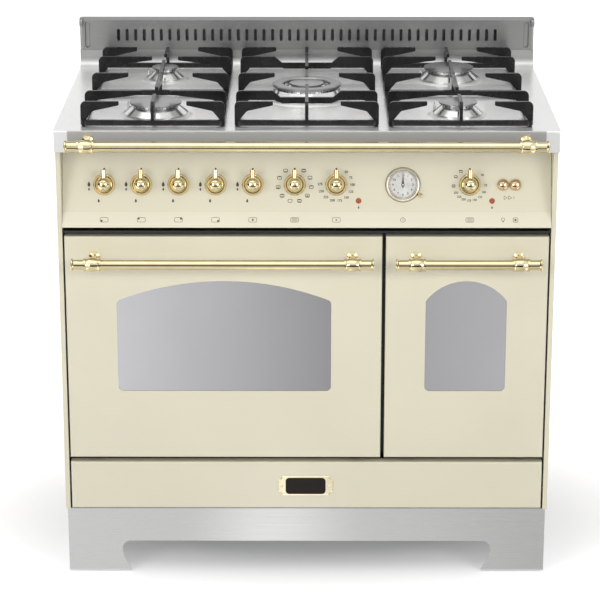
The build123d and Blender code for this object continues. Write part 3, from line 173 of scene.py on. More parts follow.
SETTINGS = {"cooker_finishes": CookerFinishes, "cooker_marks": CookerMarks, "cooker_studio": CookerStudio}


def settings(context):
    """The three property groups of the scene."""
    return [getattr(context.scene, name) for name in SETTINGS]


class Wiring:
    """A shader tree under construction, with short ways to add and join its nodes."""

    def __init__(self, tree):
        self.tree = tree

    def put(self, socket, value):
        """Links a varying value to a socket, or sets a plain one on it."""
        if isinstance(value, NodeSocket):
            self.tree.links.new(value, socket)
        else:
            socket.default_value = value

    def node(self, kind, traits=None, **inputs):
        """Adds a node, with its traits set and its named inputs filled."""
        made = self.tree.nodes.new("ShaderNode" + kind)
        for name, value in (traits or {}).items():
            setattr(made, name, value)
        for name, value in inputs.items():
            self.put(made.inputs[name.replace("_", " ")], value)
        return made

    def place(self):
        """Where a point lies on its own piece."""
        return self.node("TexCoord").outputs["Object"]

    def split(self, vector):
        """A vector's X, Y and Z."""
        return self.node("SeparateXYZ", Vector=vector).outputs

    def noise(self, vector, scale, detail):
        """Soft noise about a half."""
        return self.node("TexNoise", Vector=vector, Scale=scale, Detail=detail).outputs["Fac"]

    def effect(self, group, **values):
        """Places a shared effect and returns its output."""
        return self.node("Group", {"node_tree": group}, **values).outputs[0]

    def spread(self, value, low, high, start=0.3, end=0.7):
        """Maps a varying value from the span start to end onto low to high."""
        made = self.node("MapRange", Value=value, From_Min=start, From_Max=end, To_Min=low, To_Max=high)
        return made.outputs["Result"]

    def reckon(self, operation, *values):
        """A number worked out from varying and plain ones."""
        made = self.node("Math", {"operation": operation})
        for socket, value in zip(made.inputs, values):
            self.put(socket, value)
        return made.outputs[0]

    def blend(self, value, first, second):
        """A colour that goes from first to second, each plain or varying, with a varying value."""
        made = self.node("Mix", {"data_type": "RGBA"})
        self.put(made.inputs[0], value)
        for index, tone in ((6, first), (7, second)):
            varying = isinstance(tone, NodeSocket)
            self.put(made.inputs[index], tone if varying else (*tone, 1))
        return made.outputs[2]

    def ramp(self, value, stops, way="LINEAR"):
        """A colour that goes through stops, each a position and a colour."""
        made = self.node("ValToRGB", Fac=value)
        made.color_ramp.interpolation = way
        marks = made.color_ramp.elements
        for index, (where, tone) in enumerate(stops):
            mark = marks[index] if index < 2 else marks.new(where)
            mark.position = where
            mark.color = (*tone, 1)
        return made.outputs["Color"]

    def seen_directly(self):
        """One for camera, mirror and see-through rays, nought for the rest."""
        path = self.node("LightPath").outputs
        sight = self.reckon("MAXIMUM", path["Is Camera Ray"], path["Is Glossy Ray"])
        return self.reckon("MAXIMUM", sight, path["Is Transmission Ray"])


class Finish(Wiring):
    """A material under construction."""

    def __init__(self, name, roughness=0.5, metallic=0.0):
        self.material = bpy.data.materials.new(name)
        self.material.use_nodes = True
        super().__init__(self.material.node_tree)
        self.shader = self.tree.nodes["Principled BSDF"]
        self.set(Roughness=roughness, Metallic=metallic)

    def set(self, **values):
        """Sets the shader's plain values and links its varying ones."""
        for name, value in values.items():
            self.put(self.shader.inputs[name.replace("_", " ")], value)

    def smear(self, amount):
        """Stretches mirror images across the brushing."""
        across = self.node("VectorMath", {"operation": "CROSS_PRODUCT"})
        self.put(across.inputs[0], self.node("NewGeometry").outputs["Normal"])
        self.put(across.inputs[1], BRUSHING)
        level = self.node("VectorMath", {"operation": "NORMALIZE"}, Vector=across.outputs["Vector"])
        self.set(Tangent=level.outputs["Vector"], Anisotropic=amount)

    def cloud(self, scale, detail=3.0):
        """Soft cloudy variation."""
        return self.effect(mottle_group(), scale=scale, detail=detail)

    def film(self, scale, amount):
        """A dusty film on upward faces; on the cast iron its lighter tops are also a painted sheen."""
        return self.effect(dust_group(), scale=scale, amount=amount)

    def toned(self, value, first, second):
        """A colour that goes from first to second with an effect."""
        return self.blend(self.spread(value, 0, 1), first, second)

    def weather(self, cloud, film, tones, gloss):
        """A colour that clouds from one tone to the next under a film of a third, and a cloudy gloss."""
        base = self.toned(cloud, *tones[:2])
        self.set(Base_Color=self.blend(film, base, tones[2]), Roughness=self.spread(cloud, *gloss))

    def relief(self, height, strength, distance=0.0005):
        """Adds bump from an effect."""
        made = self.node("Bump", Strength=strength, Distance=distance, Height=height)
        self.set(Normal=made.outputs["Normal"])

    def pebbles(self, scale, strength, distance=0.0005):
        """Adds a pebbled skin as bump."""
        self.relief(self.effect(pebble_group(), scale=scale), strength, distance)


# Shader effects that several finishes share

def effect_group(name, inputs, wire):
    """A shared effect with named inputs and one output, wired by a function the first time."""
    tree = bpy.data.node_groups.get(name)
    if not tree:
        tree = bpy.data.node_groups.new(name, "ShaderNodeTree")
        for socket, default in inputs.items():
            kind = "NodeSocketVector" if isinstance(default, tuple) else "NodeSocketFloat"
            made = tree.interface.new_socket(name=socket, in_out="INPUT", socket_type=kind)
            made.default_value = default
        tree.interface.new_socket(name=name, in_out="OUTPUT", socket_type="NodeSocketFloat")
        wiring = Wiring(tree)
        given = tree.nodes.new("NodeGroupInput").outputs
        result = tree.nodes.new("NodeGroupOutput")
        value = wire(wiring, given)
        wiring.put(result.inputs[name], value)
    return tree


def mottle_group():
    """Soft cloudy variation, for colour and gloss."""
    def wire(wiring, given):
        return wiring.noise(wiring.place(), given["scale"], given["detail"])
    return effect_group("mottle", {"scale": 8.0, "detail": 3.0}, wire)


def grain_group():
    """Fine lines stretched along one way, as brushing or turning leaves."""
    def wire(wiring, given):
        drawn = wiring.node("Mapping", Vector=wiring.place(), Scale=given["stretch"])
        return wiring.noise(drawn.outputs["Vector"], 1.0, 4.0)
    return effect_group("grain", {"stretch": (1.0, 1.0, 1.0)}, wire)


def pebble_group():
    """A skin of small rounded lumps, for castings, rubber and enamel."""
    def wire(wiring, given):
        place, scale = wiring.place(), given["scale"]
        cells = wiring.node("TexVoronoi", {"feature": "SMOOTH_F1"}, Vector=place, Scale=scale)
        rough = wiring.noise(place, scale, 2.0)
        return wiring.reckon("MULTIPLY_ADD", rough, 0.6, cells.outputs["Distance"])
    return effect_group("pebble", {"scale": 400.0}, wire)


def dust_group():
    """A thin film that settles on faces that look up, broken up by noise; on the cast iron it also stands in
    for a painted sheen on the tops.
    """
    def wire(wiring, given):
        facing = wiring.split(wiring.node("NewGeometry").outputs["Normal"])["Z"]
        upward = wiring.spread(facing, 0, 1, 0.3, 1.0)
        patchy = wiring.reckon("MULTIPLY", upward, wiring.noise(wiring.place(), given["scale"], 2.0))
        return wiring.reckon("MULTIPLY", patchy, given["amount"])
    return effect_group("dust_and_sheen", {"scale": 30.0, "amount": 0.5}, wire)


def scaled(tone, factor):
    """A colour made darker or lighter."""
    return tuple(min(1.0, part * factor) for part in tone)


def paint(material, *names):
    """Gives CAD nodes a finish through their material slots."""
    for name in names:
        piece = nodes[name]
        for slot in piece.material_slots:
            slot.material = material
        if not piece.material_slots:
            raise RuntimeError(f"{name} has no material slot")


# Finishes

def enamel_finish(tone, roughness):
    made = Finish("cream_gloss_enamel", roughness)
    cloud = made.cloud(5.0, 3.0)
    fine = made.cloud(26.0)
    made.set(
        Base_Color=made.toned(cloud, tone, scaled(tone, 0.96)),
        Roughness=made.spread(fine, roughness * 0.8, roughness * 1.25),
        Coat_Weight=0.5,
        Coat_Roughness=0.06,
    )
    made.pebbles(170.0, 0.035)
    return made.material


def brushed_base(made, tone, stretch, light, dark):
    """The lines of a brushed sheet, and its colour between a light and a dark share of the tone."""
    lines = made.effect(grain_group(), stretch=stretch)
    cloud = made.cloud(3.0, 2.0)
    base = made.toned(lines, scaled(tone, light), scaled(tone, dark))
    made.relief(lines, 0.05, 0.0002)
    return lines, made.blend(made.spread(cloud, 0, 0.25), base, scaled(tone, 0.9))


def brushed_finish(name, tone, roughness, stretch, contrast=0.06, smear=0.0):
    made = Finish(name, roughness, 1.0)
    lines, base = brushed_base(made, tone, stretch, 1 + contrast, 1 - contrast)
    made.set(Base_Color=base, Roughness=made.spread(lines, roughness * 0.8, roughness * 1.3))
    if smear:
        made.smear(smear)
    return made.material


def hob_finish(tone, roughness, lip, reach, top):
    """Brushed sheet: the folded front band is a coarser satin whose middle, between its bright ends, is
    darkened as a painted reflection, and the upstand behind is darkened as painted shade.
    """
    made = Finish("hob_steel", roughness, 1.0)
    lines, base = brushed_base(made, tone, (12.0, 900.0, 900.0), 1.02, 0.97)
    place = made.split(made.place())
    front = made.spread(place["Y"], 1, 0, lip + 0.001, lip + 0.002)
    within = made.spread(made.reckon("ABSOLUTE", place["X"]), 1, 0, reach - 0.002, reach)
    # Painted reflection: the middle of the front band is darkened, as the rail and dim surroundings it
    # mirrors look dark, while its ends stay bright
    band = made.reckon("MULTIPLY", made.reckon("MULTIPLY", front, within), 0.55)
    base = made.blend(band, base, scaled(tone, 0.12))
    # Painted shade: the upstand behind is darkened towards the splashback's level
    upstand = made.spread(place["Z"], 0, 0.9, top, top + 0.010)
    gloss = made.spread(lines, roughness * 0.8, roughness * 1.25)
    made.set(
        Base_Color=made.blend(upstand, base, scaled(tone, 0.36)),
        Roughness=made.reckon("ADD", gloss, made.reckon("MULTIPLY", front, 0.14)),
    )
    made.smear(0.8)
    return made.material


def polished_finish(name, tone, roughness, scale=40.0):
    made = Finish(name, roughness, 1.0)
    tones = tone, scaled(tone, 0.9), scaled(tone, 0.8)
    made.weather(made.cloud(scale), made.film(60.0, 0.16), tones, (roughness * 0.75, roughness * 1.35))
    made.pebbles(260.0, 0.012, 0.0003)
    return made.material


def cast_finish(tone):
    made = Finish("satin_cast_iron", 0.3)
    tones = tone, scaled(tone, 1.6), (0.075, 0.075, 0.075)
    # Painted sheen: the light grey film on faces that look up is partly a dusty film and partly stands in
    # for the sheen on the supports' tops
    made.weather(made.cloud(45.0, 4.0), made.film(90.0, 0.2), tones, (0.2, 0.32))
    made.pebbles(520.0, 0.06, 0.0004)
    made.set(Specular_IOR_Level=0.3)
    return made.material


def speckled_finish(name, tone, speck, roughness=0.22, shine=0.5):
    made = Finish(name, roughness)
    specks = made.spread(made.cloud(900.0, 1.0), 0, 1, 0.68, 0.74)
    cloud = made.cloud(20.0)
    made.set(
        Base_Color=made.blend(specks, tone, speck),
        Roughness=made.spread(cloud, roughness * 0.8, roughness * 1.4),
        Specular_IOR_Level=shine,
    )
    made.pebbles(300.0, 0.06)
    return made.material


def dull_finish(name, tone, roughness, scale=300.0, strength=0.2, metallic=0.0):
    made = Finish(name, roughness, metallic)
    tones = [scaled(tone, factor) for factor in (1.15, 0.8, 1.8)]
    gloss = roughness * 0.85, min(1, roughness * 1.15)
    made.weather(made.cloud(60.0, 4.0), made.film(40.0, 0.25), tones, gloss)
    made.pebbles(scale, strength)
    return made.material


def window_finish(tone):
    """Mirror-coated glass with a painted reflection: lighter at the left, darker towards the middle and
    lighter again at the right.
    """
    made = Finish("mirror_coated_glass", 0.06, 0.9)
    # Painted reflection: the colour runs across X as the mirrored surroundings would
    across = made.spread(made.split(made.place())["X"], 0, 1, -0.36, 0.36)
    stops = ((0.02, 1.72), (0.57, 0.94), (0.80, 1.30), (1.0, 1.52))
    base = made.ramp(across, [(where, scaled(tone, factor)) for where, factor in stops])
    cloud = made.cloud(6.0)
    made.set(
        Base_Color=made.blend(made.spread(cloud, 0, 0.1), base, scaled(tone, 0.8)),
        Roughness=made.spread(cloud, 0.04, 0.09),
        Coat_Weight=0.6,
        Coat_Roughness=0.02,
    )
    return made.material


def clear_glass_finish():
    made = Finish("clear_glass", 0.0)
    cloud = made.cloud(30.0)
    made.set(
        Transmission_Weight=1.0, IOR=1.02, Base_Color=(1, 1, 1, 1), Roughness=made.spread(cloud, 0.0, 0.02))
    return made.material


def lens_finish(tone):
    made = Finish("lamp_lens", 0.14)
    ribs = made.effect(grain_group(), stretch=(900.0, 900.0, 900.0))
    made.set(
        Base_Color=made.toned(ribs, tone, scaled(tone, 0.7)),
        Emission_Color=made.toned(ribs, tone, scaled(tone, 0.6)),
        Emission_Strength=0.1,
        Coat_Weight=0.6,
    )
    return made.material


def ink_finish(tone):
    made = Finish("print_ink", 0.4)
    cloud = made.cloud(700.0)
    made.set(Base_Color=made.toned(cloud, tone, scaled(tone, 1.5)), Roughness=made.spread(cloud, 0.35, 0.5))
    return made.material


def ink(context):
    """The printing ink, made once."""
    return bpy.data.materials.get("print_ink") or ink_finish(context.scene.cooker_finishes.ink)


def glow_finish(name, shade):
    """A stage card that shines by itself, in a colour wired by a function."""
    made = Finish(name, 1.0)
    made.set(
        Base_Color=(0, 0, 0, 1), Specular_IOR_Level=0.0, Emission_Strength=1.0, Emission_Color=shade(made))
    return made.material


# Pieces

def add_object(name, data):
    """An object in the scene's own collection."""
    made = bpy.data.objects.new(name, data)
    bpy.context.scene.collection.objects.link(made)
    return made


def mesh_from(name, bm):
    """A mesh from a finished bmesh."""
    mesh = bpy.data.meshes.new(name)
    bm.to_mesh(mesh)
    bm.free()
    return mesh


def add_piece(name, bm, materials, body, smooth=True):
    """Turns a finished bmesh into a piece that rides on a body."""
    mesh = mesh_from(name, bm)
    for material in materials:
        mesh.materials.append(material)
    for polygon in mesh.polygons:
        polygon.use_smooth = smooth
    piece = add_object(name, mesh)
    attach(piece, body)


def mm(*points):
    """Points given in millimetres."""
    return [tuple(part * MM for part in point) for point in points]


def stand(point, right, up):
    """A frame at a point with local x to the right, y up and z out of the face."""
    right, up = Vector(right), Vector(up)
    made = Matrix((right, up, right.cross(up))).transposed().to_4x4()
    made.translation = Vector(point)
    return made


def panel_stand(joint_name, offset=(0, 0)):
    """The frame of a control on the tilted panel, moved by an offset in millimetres."""
    joint = joints[joint_name]
    out = Vector(joint["axis"])
    if out.y > 0:
        out = -out
    right = Vector(RIGHT)
    up = out.cross(right)
    return stand(Vector(joint["pos_m"]) + (right * offset[0] + up * offset[1]) * MM, right, up)


def middle_x(name):
    """Where the middle of a node lies along X."""
    low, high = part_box(name)
    return (low.x + high.x) / 2


def round_spot(degrees, radius_mm):
    """A point on a circle, with the angle taken clockwise from the top."""
    a = radians(degrees)
    return radius_mm * MM * sin(a), radius_mm * MM * cos(a)


def cornered(half_width, half_height, radius, steps, hollow=False):
    """A rectangle with rounded or hollowed corners, anticlockwise."""
    points = []
    inset = 0 if hollow else radius
    for i, j, start in CORNERS:
        x, y = i * (half_width - inset), j * (half_height - inset)
        for step in range(steps + 1):
            turn = 90 / steps * step
            a = radians(start + 270 - turn if hollow else start + turn)
            points.append((x + radius * cos(a), y + radius * sin(a)))
    return points


def turns(sides):
    """The angles of a polygon's corners."""
    return [tau * i / sides for i in range(sides)]


class Print:
    """Flat printed shapes gathered into one mesh. Sizes are in metres on the frame given."""

    def __init__(self, lift):
        self.bm = bmesh.new()
        self.lift = lift

    def shape(self, place, points):
        """A filled outline."""
        corners = [self.bm.verts.new(place @ Vector((x, y, self.lift))) for x, y in points]
        self.bm.faces.new(corners)

    def band(self, place, outer, inner):
        """The line between two outlines with as many points."""
        for i in range(len(outer)):
            j = (i + 1) % len(outer)
            self.shape(place, [outer[i], outer[j], inner[j], inner[i]])

    def circle(self, x, y, radius, sides):
        """The points of a circle."""
        return [(x + radius * cos(a), y + radius * sin(a)) for a in turns(sides)]

    def disc(self, place, x, y, radius, sides=20):
        self.shape(place, self.circle(x, y, radius, sides))

    def ring(self, place, x, y, outer, inner, sides=28):
        self.band(place, self.circle(x, y, outer, sides), self.circle(x, y, inner, sides))

    def bar(self, place, x, y, width, height, turn=0.0):
        c, s = cos(turn), sin(turn)
        corners = ((-1, -1), (1, -1), (1, 1), (-1, 1))
        local = [(i * width / 2, j * height / 2) for i, j in corners]
        self.shape(place, [(x + u * c - v * s, y + u * s + v * c) for u, v in local])

    def border(self, place, x, y, width, height, line):
        """A rounded rectangle drawn as a line."""
        radius = min(width, height) * 0.28
        loops = [
            [(x + u, y + v) for u, v in cornered(width / 2 - inset, height / 2 - inset, radius - inset, 4)]
            for inset in (0, line)
        ]
        self.band(place, *loops)

    def flame(self, place, x, y, size, sides=24):
        """A drop with a pointed top."""
        drop = [(x - size * 0.36 * sin(a) * sin(a / 2), y + size / 2 * cos(a)) for a in turns(sides)]
        self.shape(place, drop)

    def words(self, place, x, y, text, size):
        """Figures set on their middle."""
        curve = bpy.data.curves.new("figures", "FONT")
        curve.body = text
        curve.size = size * 1.4
        curve.offset = size * 0.035
        curve.align_x = "CENTER"
        curve.align_y = "CENTER"
        letter = bpy.data.objects.new("figures", curve)
        mesh = bpy.data.meshes.new_from_object(letter)
        mesh.transform(place @ Matrix.Translation((x, y, self.lift)))
        self.bm.from_mesh(mesh)
        bpy.data.objects.remove(letter)
        bpy.data.curves.remove(curve)
        bpy.data.meshes.remove(mesh)

    def done(self, name, material):
        """Turns the print into a piece on the fixed body."""
        add_piece(name, self.bm, [material], "cooker", smooth=False)


def lathe(bm, place, profile, sides=24, material=0):
    """Adds a turned form: profile points are (radius, height) on the frame given."""
    rings = []
    for radius, height in profile:
        if radius < 1e-7:
            rings.append([bm.verts.new(place @ Vector((0, 0, height)))])
            continue
        points = [Vector((radius * cos(a), radius * sin(a), height)) for a in turns(sides)]
        rings.append([bm.verts.new(place @ point) for point in points])
    for low, high in zip(rings, rings[1:]):
        for i in range(sides):
            j = (i + 1) % sides
            corners = [low[i % len(low)], low[j % len(low)], high[j % len(high)], high[i % len(high)]]
            face = bm.faces.new(list(dict.fromkeys(corners)))
            face.material_index = material


def slab(bm, place, outline, levels):
    """Adds a plate from an anticlockwise outline: levels are (height, inset) from its foot to its face."""
    count = len(outline)
    points = [Vector(point) for point in outline]
    inward = []
    for i, point in enumerate(points):
        before, after = point - points[i - 1], points[(i + 1) % count] - point
        sides = [Vector((-edge.y, edge.x)).normalized() for edge in (before, after)]
        way = (sides[0] + sides[1]).normalized()
        inward.append(way / max(0.4, way.dot(sides[0])))
    loops = []
    for height, inset in levels:
        moved = [point + way * inset for point, way in zip(points, inward)]
        loops.append([bm.verts.new(place @ Vector((at.x, at.y, height))) for at in moved])
    for lower, upper in zip(loops, loops[1:]):
        for i in range(count):
            j = (i + 1) % count
            bm.faces.new((lower[i], lower[j], upper[j], upper[i]))
    bm.faces.new(loops[-1])


OPERATORS = []


def step(operator):
    """Notes an operator as the next step of the dressing."""
    OPERATORS.append(operator)
    return operator


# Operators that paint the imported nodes

@step
class COOKER_OT_paint_enamel(Operator):
    """Cream gloss enamel on the panel, doors, drawer front and sides."""
    bl_idname = "cooker.paint_enamel"
    bl_label = "Paint enamel"

    def execute(self, context):
        looks, _, _ = settings(context)
        paint(
            enamel_finish(looks.cream, looks.cream_roughness),
            "left_side_panel", "right_side_panel", "control_panel",
            "main_door_panel", "small_door_panel", "drawer_front",
        )
        return {"FINISHED"}


@step
class COOKER_OT_paint_steel(Operator):
    """Brushed stainless sheet on the hob, splashback, plinth and trim."""
    bl_idname = "cooker.paint_steel"
    bl_label = "Paint steel"

    def execute(self, context):
        looks, _, _ = settings(context)
        tone, roughness = looks.steel, looks.steel_roughness
        low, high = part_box("hob_top")
        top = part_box("splashback")[0].z
        # Painted light and shade: the same stainless sheet gets a different share of the steel tone on each
        # piece, lighter on the hob and darker on the splashback and vent trim, as bright as each looks
        paint(hob_finish(scaled(tone, 1.15), roughness * 1.7, low.y, high.x - LIP_END, top), "hob_top")
        for node, name, level, blur, stretch, contrast, smear in (
            ("splashback", "splash_steel", 0.36, 2, SHEET_LINES, 0.012, 0.7),
            ("plinth", "plinth_steel", 0.86, 1.6, SHEET_LINES, 0.012, 0.7),
            ("vent_trim", "trim_steel", 0.16, 1, (9.0, 700.0, 700.0), 0.04, 0.6),
        ):
            sheet = brushed_finish(name, scaled(tone, level), roughness * blur, stretch, contrast, smear)
            paint(sheet, node)
        return {"FINISHED"}


@step
class COOKER_OT_paint_brass(Operator):
    """Polished brass on the rail, handles, knobs, buttons and clock, plain brass on the gas pipe."""
    bl_idname = "cooker.paint_brass"
    bl_label = "Paint brass"

    def execute(self, context):
        looks, _, _ = settings(context)
        gloss = looks.brass_roughness
        endings = ("_knob", "_handle", "_handle_posts")
        bright = [name for name in nodes if name.endswith(endings) or name.startswith("gas_knob")]
        bright += ["front_rail", "front_rail_posts", "control_rosettes", "clock_set_stud"]
        paint(polished_finish("polished_brass", looks.brass, gloss), *bright)
        paint(polished_finish("rose_brass", looks.rose, gloss), *BUTTONS)
        paint(polished_finish("pale_gilt", looks.gilt, gloss * 5, 90.0), "clock_case")
        paint(polished_finish("pipe_brass", scaled(looks.brass, 0.8), gloss * 3, 120.0), "gas_manifold")
        return {"FINISHED"}


@step
class COOKER_OT_paint_burners(Operator):
    """Polished crowns, satin caps and cast iron pan supports."""
    bl_idname = "cooker.paint_burners"
    bl_label = "Paint burners"

    def execute(self, context):
        looks, _, _ = settings(context)
        paint(polished_finish("crown_alloy", looks.alloy, 0.17, 60.0), "burner_crowns")
        paint(brushed_finish("cap_satin", looks.cap, 0.34, (300.0, 300.0, 300.0), 0.04), "burner_caps")
        paint(cast_finish(looks.iron), "left_pan_support", "middle_pan_support", "right_pan_support")
        return {"FINISHED"}


@step
class COOKER_OT_paint_glass(Operator):
    """Coated window glass, clear clock glass and the lenses of the lamps."""
    bl_idname = "cooker.paint_glass"
    bl_label = "Paint glass"

    def execute(self, context):
        looks, _, _ = settings(context)
        paint(window_finish(looks.coating), "main_door_glass", "small_door_glass")
        paint(clear_glass_finish(), "clock_glass")
        paint(lens_finish(looks.lamp), "pilot_lamps")
        return {"FINISHED"}


@step
class COOKER_OT_paint_fittings(Operator):
    """Oven enamel, plated sheet, wire shelves, seals and the small fittings."""
    bl_idname = "cooker.paint_fittings"
    bl_label = "Paint fittings"

    def execute(self, context):
        looks, _, _ = settings(context)
        black = looks.oven_black
        paint(
            speckled_finish("speckled_oven_enamel", black, (0.20, 0.20, 0.21)),
            "main_oven_cavity", "small_oven_cavity", "main_door_liner", "small_door_liner", "fan_cover",
        )
        paint(
            brushed_finish("plated_sheet", (0.50, 0.51, 0.52), 0.36, (40.0, 40.0, 40.0), 0.1),
            "back_panel", "base_pan", "drawer_box", "drawer_runners", "door_hinges", "fan_motor",
            "convection_fan",
        )
        paint(polished_finish("plated_wire", (0.72, 0.72, 0.73), 0.1, 80.0), "oven_racks")
        tube = dull_finish("heat_dulled_tube", (0.12, 0.11, 0.105), 0.45, 400.0, 0.1, 0.8)
        paint(tube, "heating_elements")
        for name, tone, roughness, scale, strength, *painted in (
            ("frame_enamel", black, 0.3, 500.0, 0.05, "face_frame"),
            ("woven_seal", (0.035, 0.035, 0.036), 0.75, 900.0, 0.6, "door_seals"),
            ("moulded_plastic", (0.03, 0.03, 0.031), 0.5, 700.0, 0.25, "control_bodies", "cable_gland"),
            ("foot_rubber", (0.02, 0.02, 0.02), 0.7, 500.0, 0.3, "levelling_feet"),
            ("hand_lacquer", (0.012, 0.011, 0.010), 0.35, 900.0, 0.05,
             "clock_hour_hand", "clock_minute_hand"),
        ):
            paint(dull_finish(name, tone, roughness, scale, strength), *painted)
        return {"FINISHED"}


# Operators that add printed marks and small pieces

@step
class COOKER_OT_print_gas_marks(Operator):
    """Zero dots and flame signs round the five gas knobs."""
    bl_idname = "cooker.print_gas_marks"
    bl_label = "Print gas marks"

    def execute(self, context):
        _, marks, _ = settings(context)
        sheet = Print(marks.lift)
        for number in range(1, 6):
            place = panel_stand(f"gas_knob_{number}_turn")
            sheet.disc(place, 0, DOT_REACH * MM, marks.dot / 2)
            for x, y, size in GAS_FLAMES:
                sheet.flame(place, x * MM, y * MM, marks.flame * size)
        sheet.done("gas_knob_marks", ink(context))
        return {"FINISHED"}


@step
class COOKER_OT_print_oven_marks(Operator):
    """Signs round the selector, and figures round the two thermostats."""
    bl_idname = "cooker.print_oven_marks"
    bl_label = "Print oven marks"

    def execute(self, context):
        _, marks, _ = settings(context)
        sheet = Print(marks.lift)
        width, line = marks.symbol, marks.symbol * 0.12

        def oven_sign(place, spot, kind, size):
            x, y = spot
            sheet.border(place, x, y, size, size * 0.8, line)
            if kind % 2:
                sheet.bar(place, x, y + size * 0.22, size * 0.6, line)
            if kind % 3:
                sheet.bar(place, x, y - size * 0.22, size * 0.6, line)
            if kind % 4 == 0:
                sheet.disc(place, x, y, size * 0.13, 10)

        def figure(place, spot, step, size):
            sheet.words(place, *spot, str(FIRST_HEAT + HEAT_STEP * step), size)

        selector, thermostat, small_oven = (panel_stand(name) for name in OVEN_KNOBS)
        for place in (selector, thermostat, small_oven):
            sheet.disc(place, 0, DOT_REACH * MM, marks.dot / 2)
        for step in range(1, 11):
            oven_sign(selector, round_spot(32.7 * step, 30), step, width)
        for step in range(10):
            figure(thermostat, round_spot(38 + 26 * step, 29), step, marks.number)
        for step, degrees in enumerate(SMALL_OVEN_FIGURES):
            figure(small_oven, round_spot(degrees, 28.5), step, marks.number * 0.9)
        for step, degrees in enumerate(SMALL_OVEN_SIGNS):
            oven_sign(small_oven, round_spot(degrees, 29), step + 1, width * 0.8)
        for name in OVEN_KNOBS[1:]:
            sheet.flame(panel_stand(name, LAMP_SPOT), 0, LAMP_FLAME * MM, marks.flame * 0.55)
        sheet.done("oven_knob_marks", ink(context))
        return {"FINISHED"}


@step
class COOKER_OT_print_strip_signs(Operator):
    """One sign under each control on the lower strip, and the sign under the buttons."""
    bl_idname = "cooker.print_strip_signs"
    bl_label = "Print strip signs"

    def execute(self, context):
        _, marks, _ = settings(context)
        sheet = Print(marks.lift)
        low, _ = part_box("control_panel")
        knob = panel_stand("gas_knob_1_turn")
        up = knob.to_3x3() @ Vector((0, 1, 0))
        crease = knob.translation - up * marks.knob_row
        foot = Vector((crease.x, low.y, low.z))
        strip_up = (crease - foot).normalized()
        middle = (crease + foot) / 2
        width, line = marks.sign, marks.sign * 0.05
        height = width * 0.62

        def strip_stand(x):
            return stand((x, middle.y, middle.z), RIGHT, strip_up)

        def under(joint_name):
            return strip_stand(joints[joint_name]["pos_m"][0])

        dots = ((-0.3, -0.22), (-0.3, 0.22), (0.3, 0.22), (0.3, -0.22), (0, 0))
        for number, (u, v) in enumerate(dots, 1):
            place = under(f"gas_knob_{number}_turn")
            sheet.border(place, 0, 0, width, height, line)
            sheet.disc(place, u * width, v * height, width * 0.125, 14)
        for name, bars in zip(OVEN_KNOBS, (3, 0, 3)):
            place = under(name)
            sheet.border(place, 0, 0, width, height, line)
            for i in range(bars):
                sheet.bar(place, 0, (i - 1) * height * 0.24, width * 0.7, line)
            if not bars:
                sheet.disc(place, 0, 0, width * 0.1, 12)
        place = under("minute_hand_turn")
        sheet.ring(place, 0, 0, height * 0.5, height * 0.5 - line)
        sheet.bar(place, 0, height * 0.14, line, height * 0.28)
        sheet.bar(place, height * 0.1, 0, height * 0.2, line)
        light, ignition = (strip_stand(middle_x(name)) for name in BUTTONS)
        sheet.ring(light, 0, height * 0.1, height * 0.36, height * 0.36 - line)
        sheet.bar(light, 0, -height * 0.36, height * 0.3, line * 2)
        sheet.border(ignition, 0, 0, height, height, line)
        for turn in range(4):
            sheet.bar(ignition, 0, 0, height * 0.62, line, pi * turn / 4)
        self.add_button_sign(sheet)
        sheet.done("strip_signs", ink(context))
        return {"FINISHED"}

    def add_button_sign(self, sheet):
        """Two outlined arrow heads and a bar, under the pair of buttons."""
        place = panel_stand("small_oven_knob_turn")
        place.translation.x = sum(middle_x(name) for name in BUTTONS) / 2
        for back in (-9.0, -1.0):
            corners = [(back, BUTTON_SIGN - 3.2), (back + 6.0, BUTTON_SIGN), (back, BUTTON_SIGN + 3.2)]
            for (ax, ay), (bx, by) in zip(corners, corners[1:] + corners[:1]):
                reach, turn = hypot(bx - ax, by - ay), atan2(by - ay, bx - ax)
                sheet.bar(place, (ax + bx) / 2 * MM, (ay + by) / 2 * MM, reach * MM, 0.7 * MM, turn)
        sheet.bar(place, 8.5 * MM, BUTTON_SIGN * MM, 0.8 * MM, 4.5 * MM)


@step
class COOKER_OT_make_clock_dial(Operator):
    """A pale printed dial with twelve figures and sixty ticks under the hands, and two dark rings as painted
    shadow lines round the case and glass.
    """
    bl_idname = "cooker.make_clock_dial"
    bl_label = "Make clock dial"

    def execute(self, context):
        _, marks, _ = settings(context)
        radius = marks.dial
        place = panel_stand("minute_hand_turn")
        card = bmesh.new()
        lathe(card, place, [(reach, DIAL_HEIGHT) for reach in (radius, radius * 0.6, 1.6 * MM)], 64)
        face = dull_finish("dial_card", (0.455, 0.445, 0.425), 0.5, 900.0, 0.05)
        add_piece("clock_dial_card", card, [face], "cooker", smooth=False)
        # Painted shadow: two thin dark rings round the clock's case and its glass stand in for the shadow
        # lines there
        shadow_rings = bmesh.new()
        lathe(shadow_rings, place, mm((31.4, 0.02), (31.4, 0.6), (31.0, 0.9), (30.5, 0.9)), 64)
        lathe(shadow_rings, place, mm((26.5, 5.02), (26.4, 5.35), (25.9, 5.4), (25.4, 5.02)), 64)
        shadow_black = dull_finish("shadow_ring_black", (0.05, 0.045, 0.04), 0.6, 900.0, 0.1)
        add_piece("clock_shadow_rings", shadow_rings, [shadow_black], "cooker")
        sheet = Print(DIAL_PRINT)
        sheet.ring(place, 0, 0, radius * 0.985, radius * 0.955, 64)
        for minute, a in enumerate(turns(60)):
            share_of_radius, width = (0.05, 0.25 * MM) if minute % 5 else (0.09, 0.5 * MM)
            reach = radius * share_of_radius
            r = radius * 0.93 - reach / 2
            sheet.bar(place, r * sin(a), r * cos(a), width, reach, -a)
        for hour in range(1, 13):
            a = tau * hour / 12
            r = radius * 0.72
            sheet.words(place, r * sin(a), r * cos(a), str(hour), 4.0 * MM)
        sheet.done("clock_dial_print", ink(context))
        return {"FINISHED"}


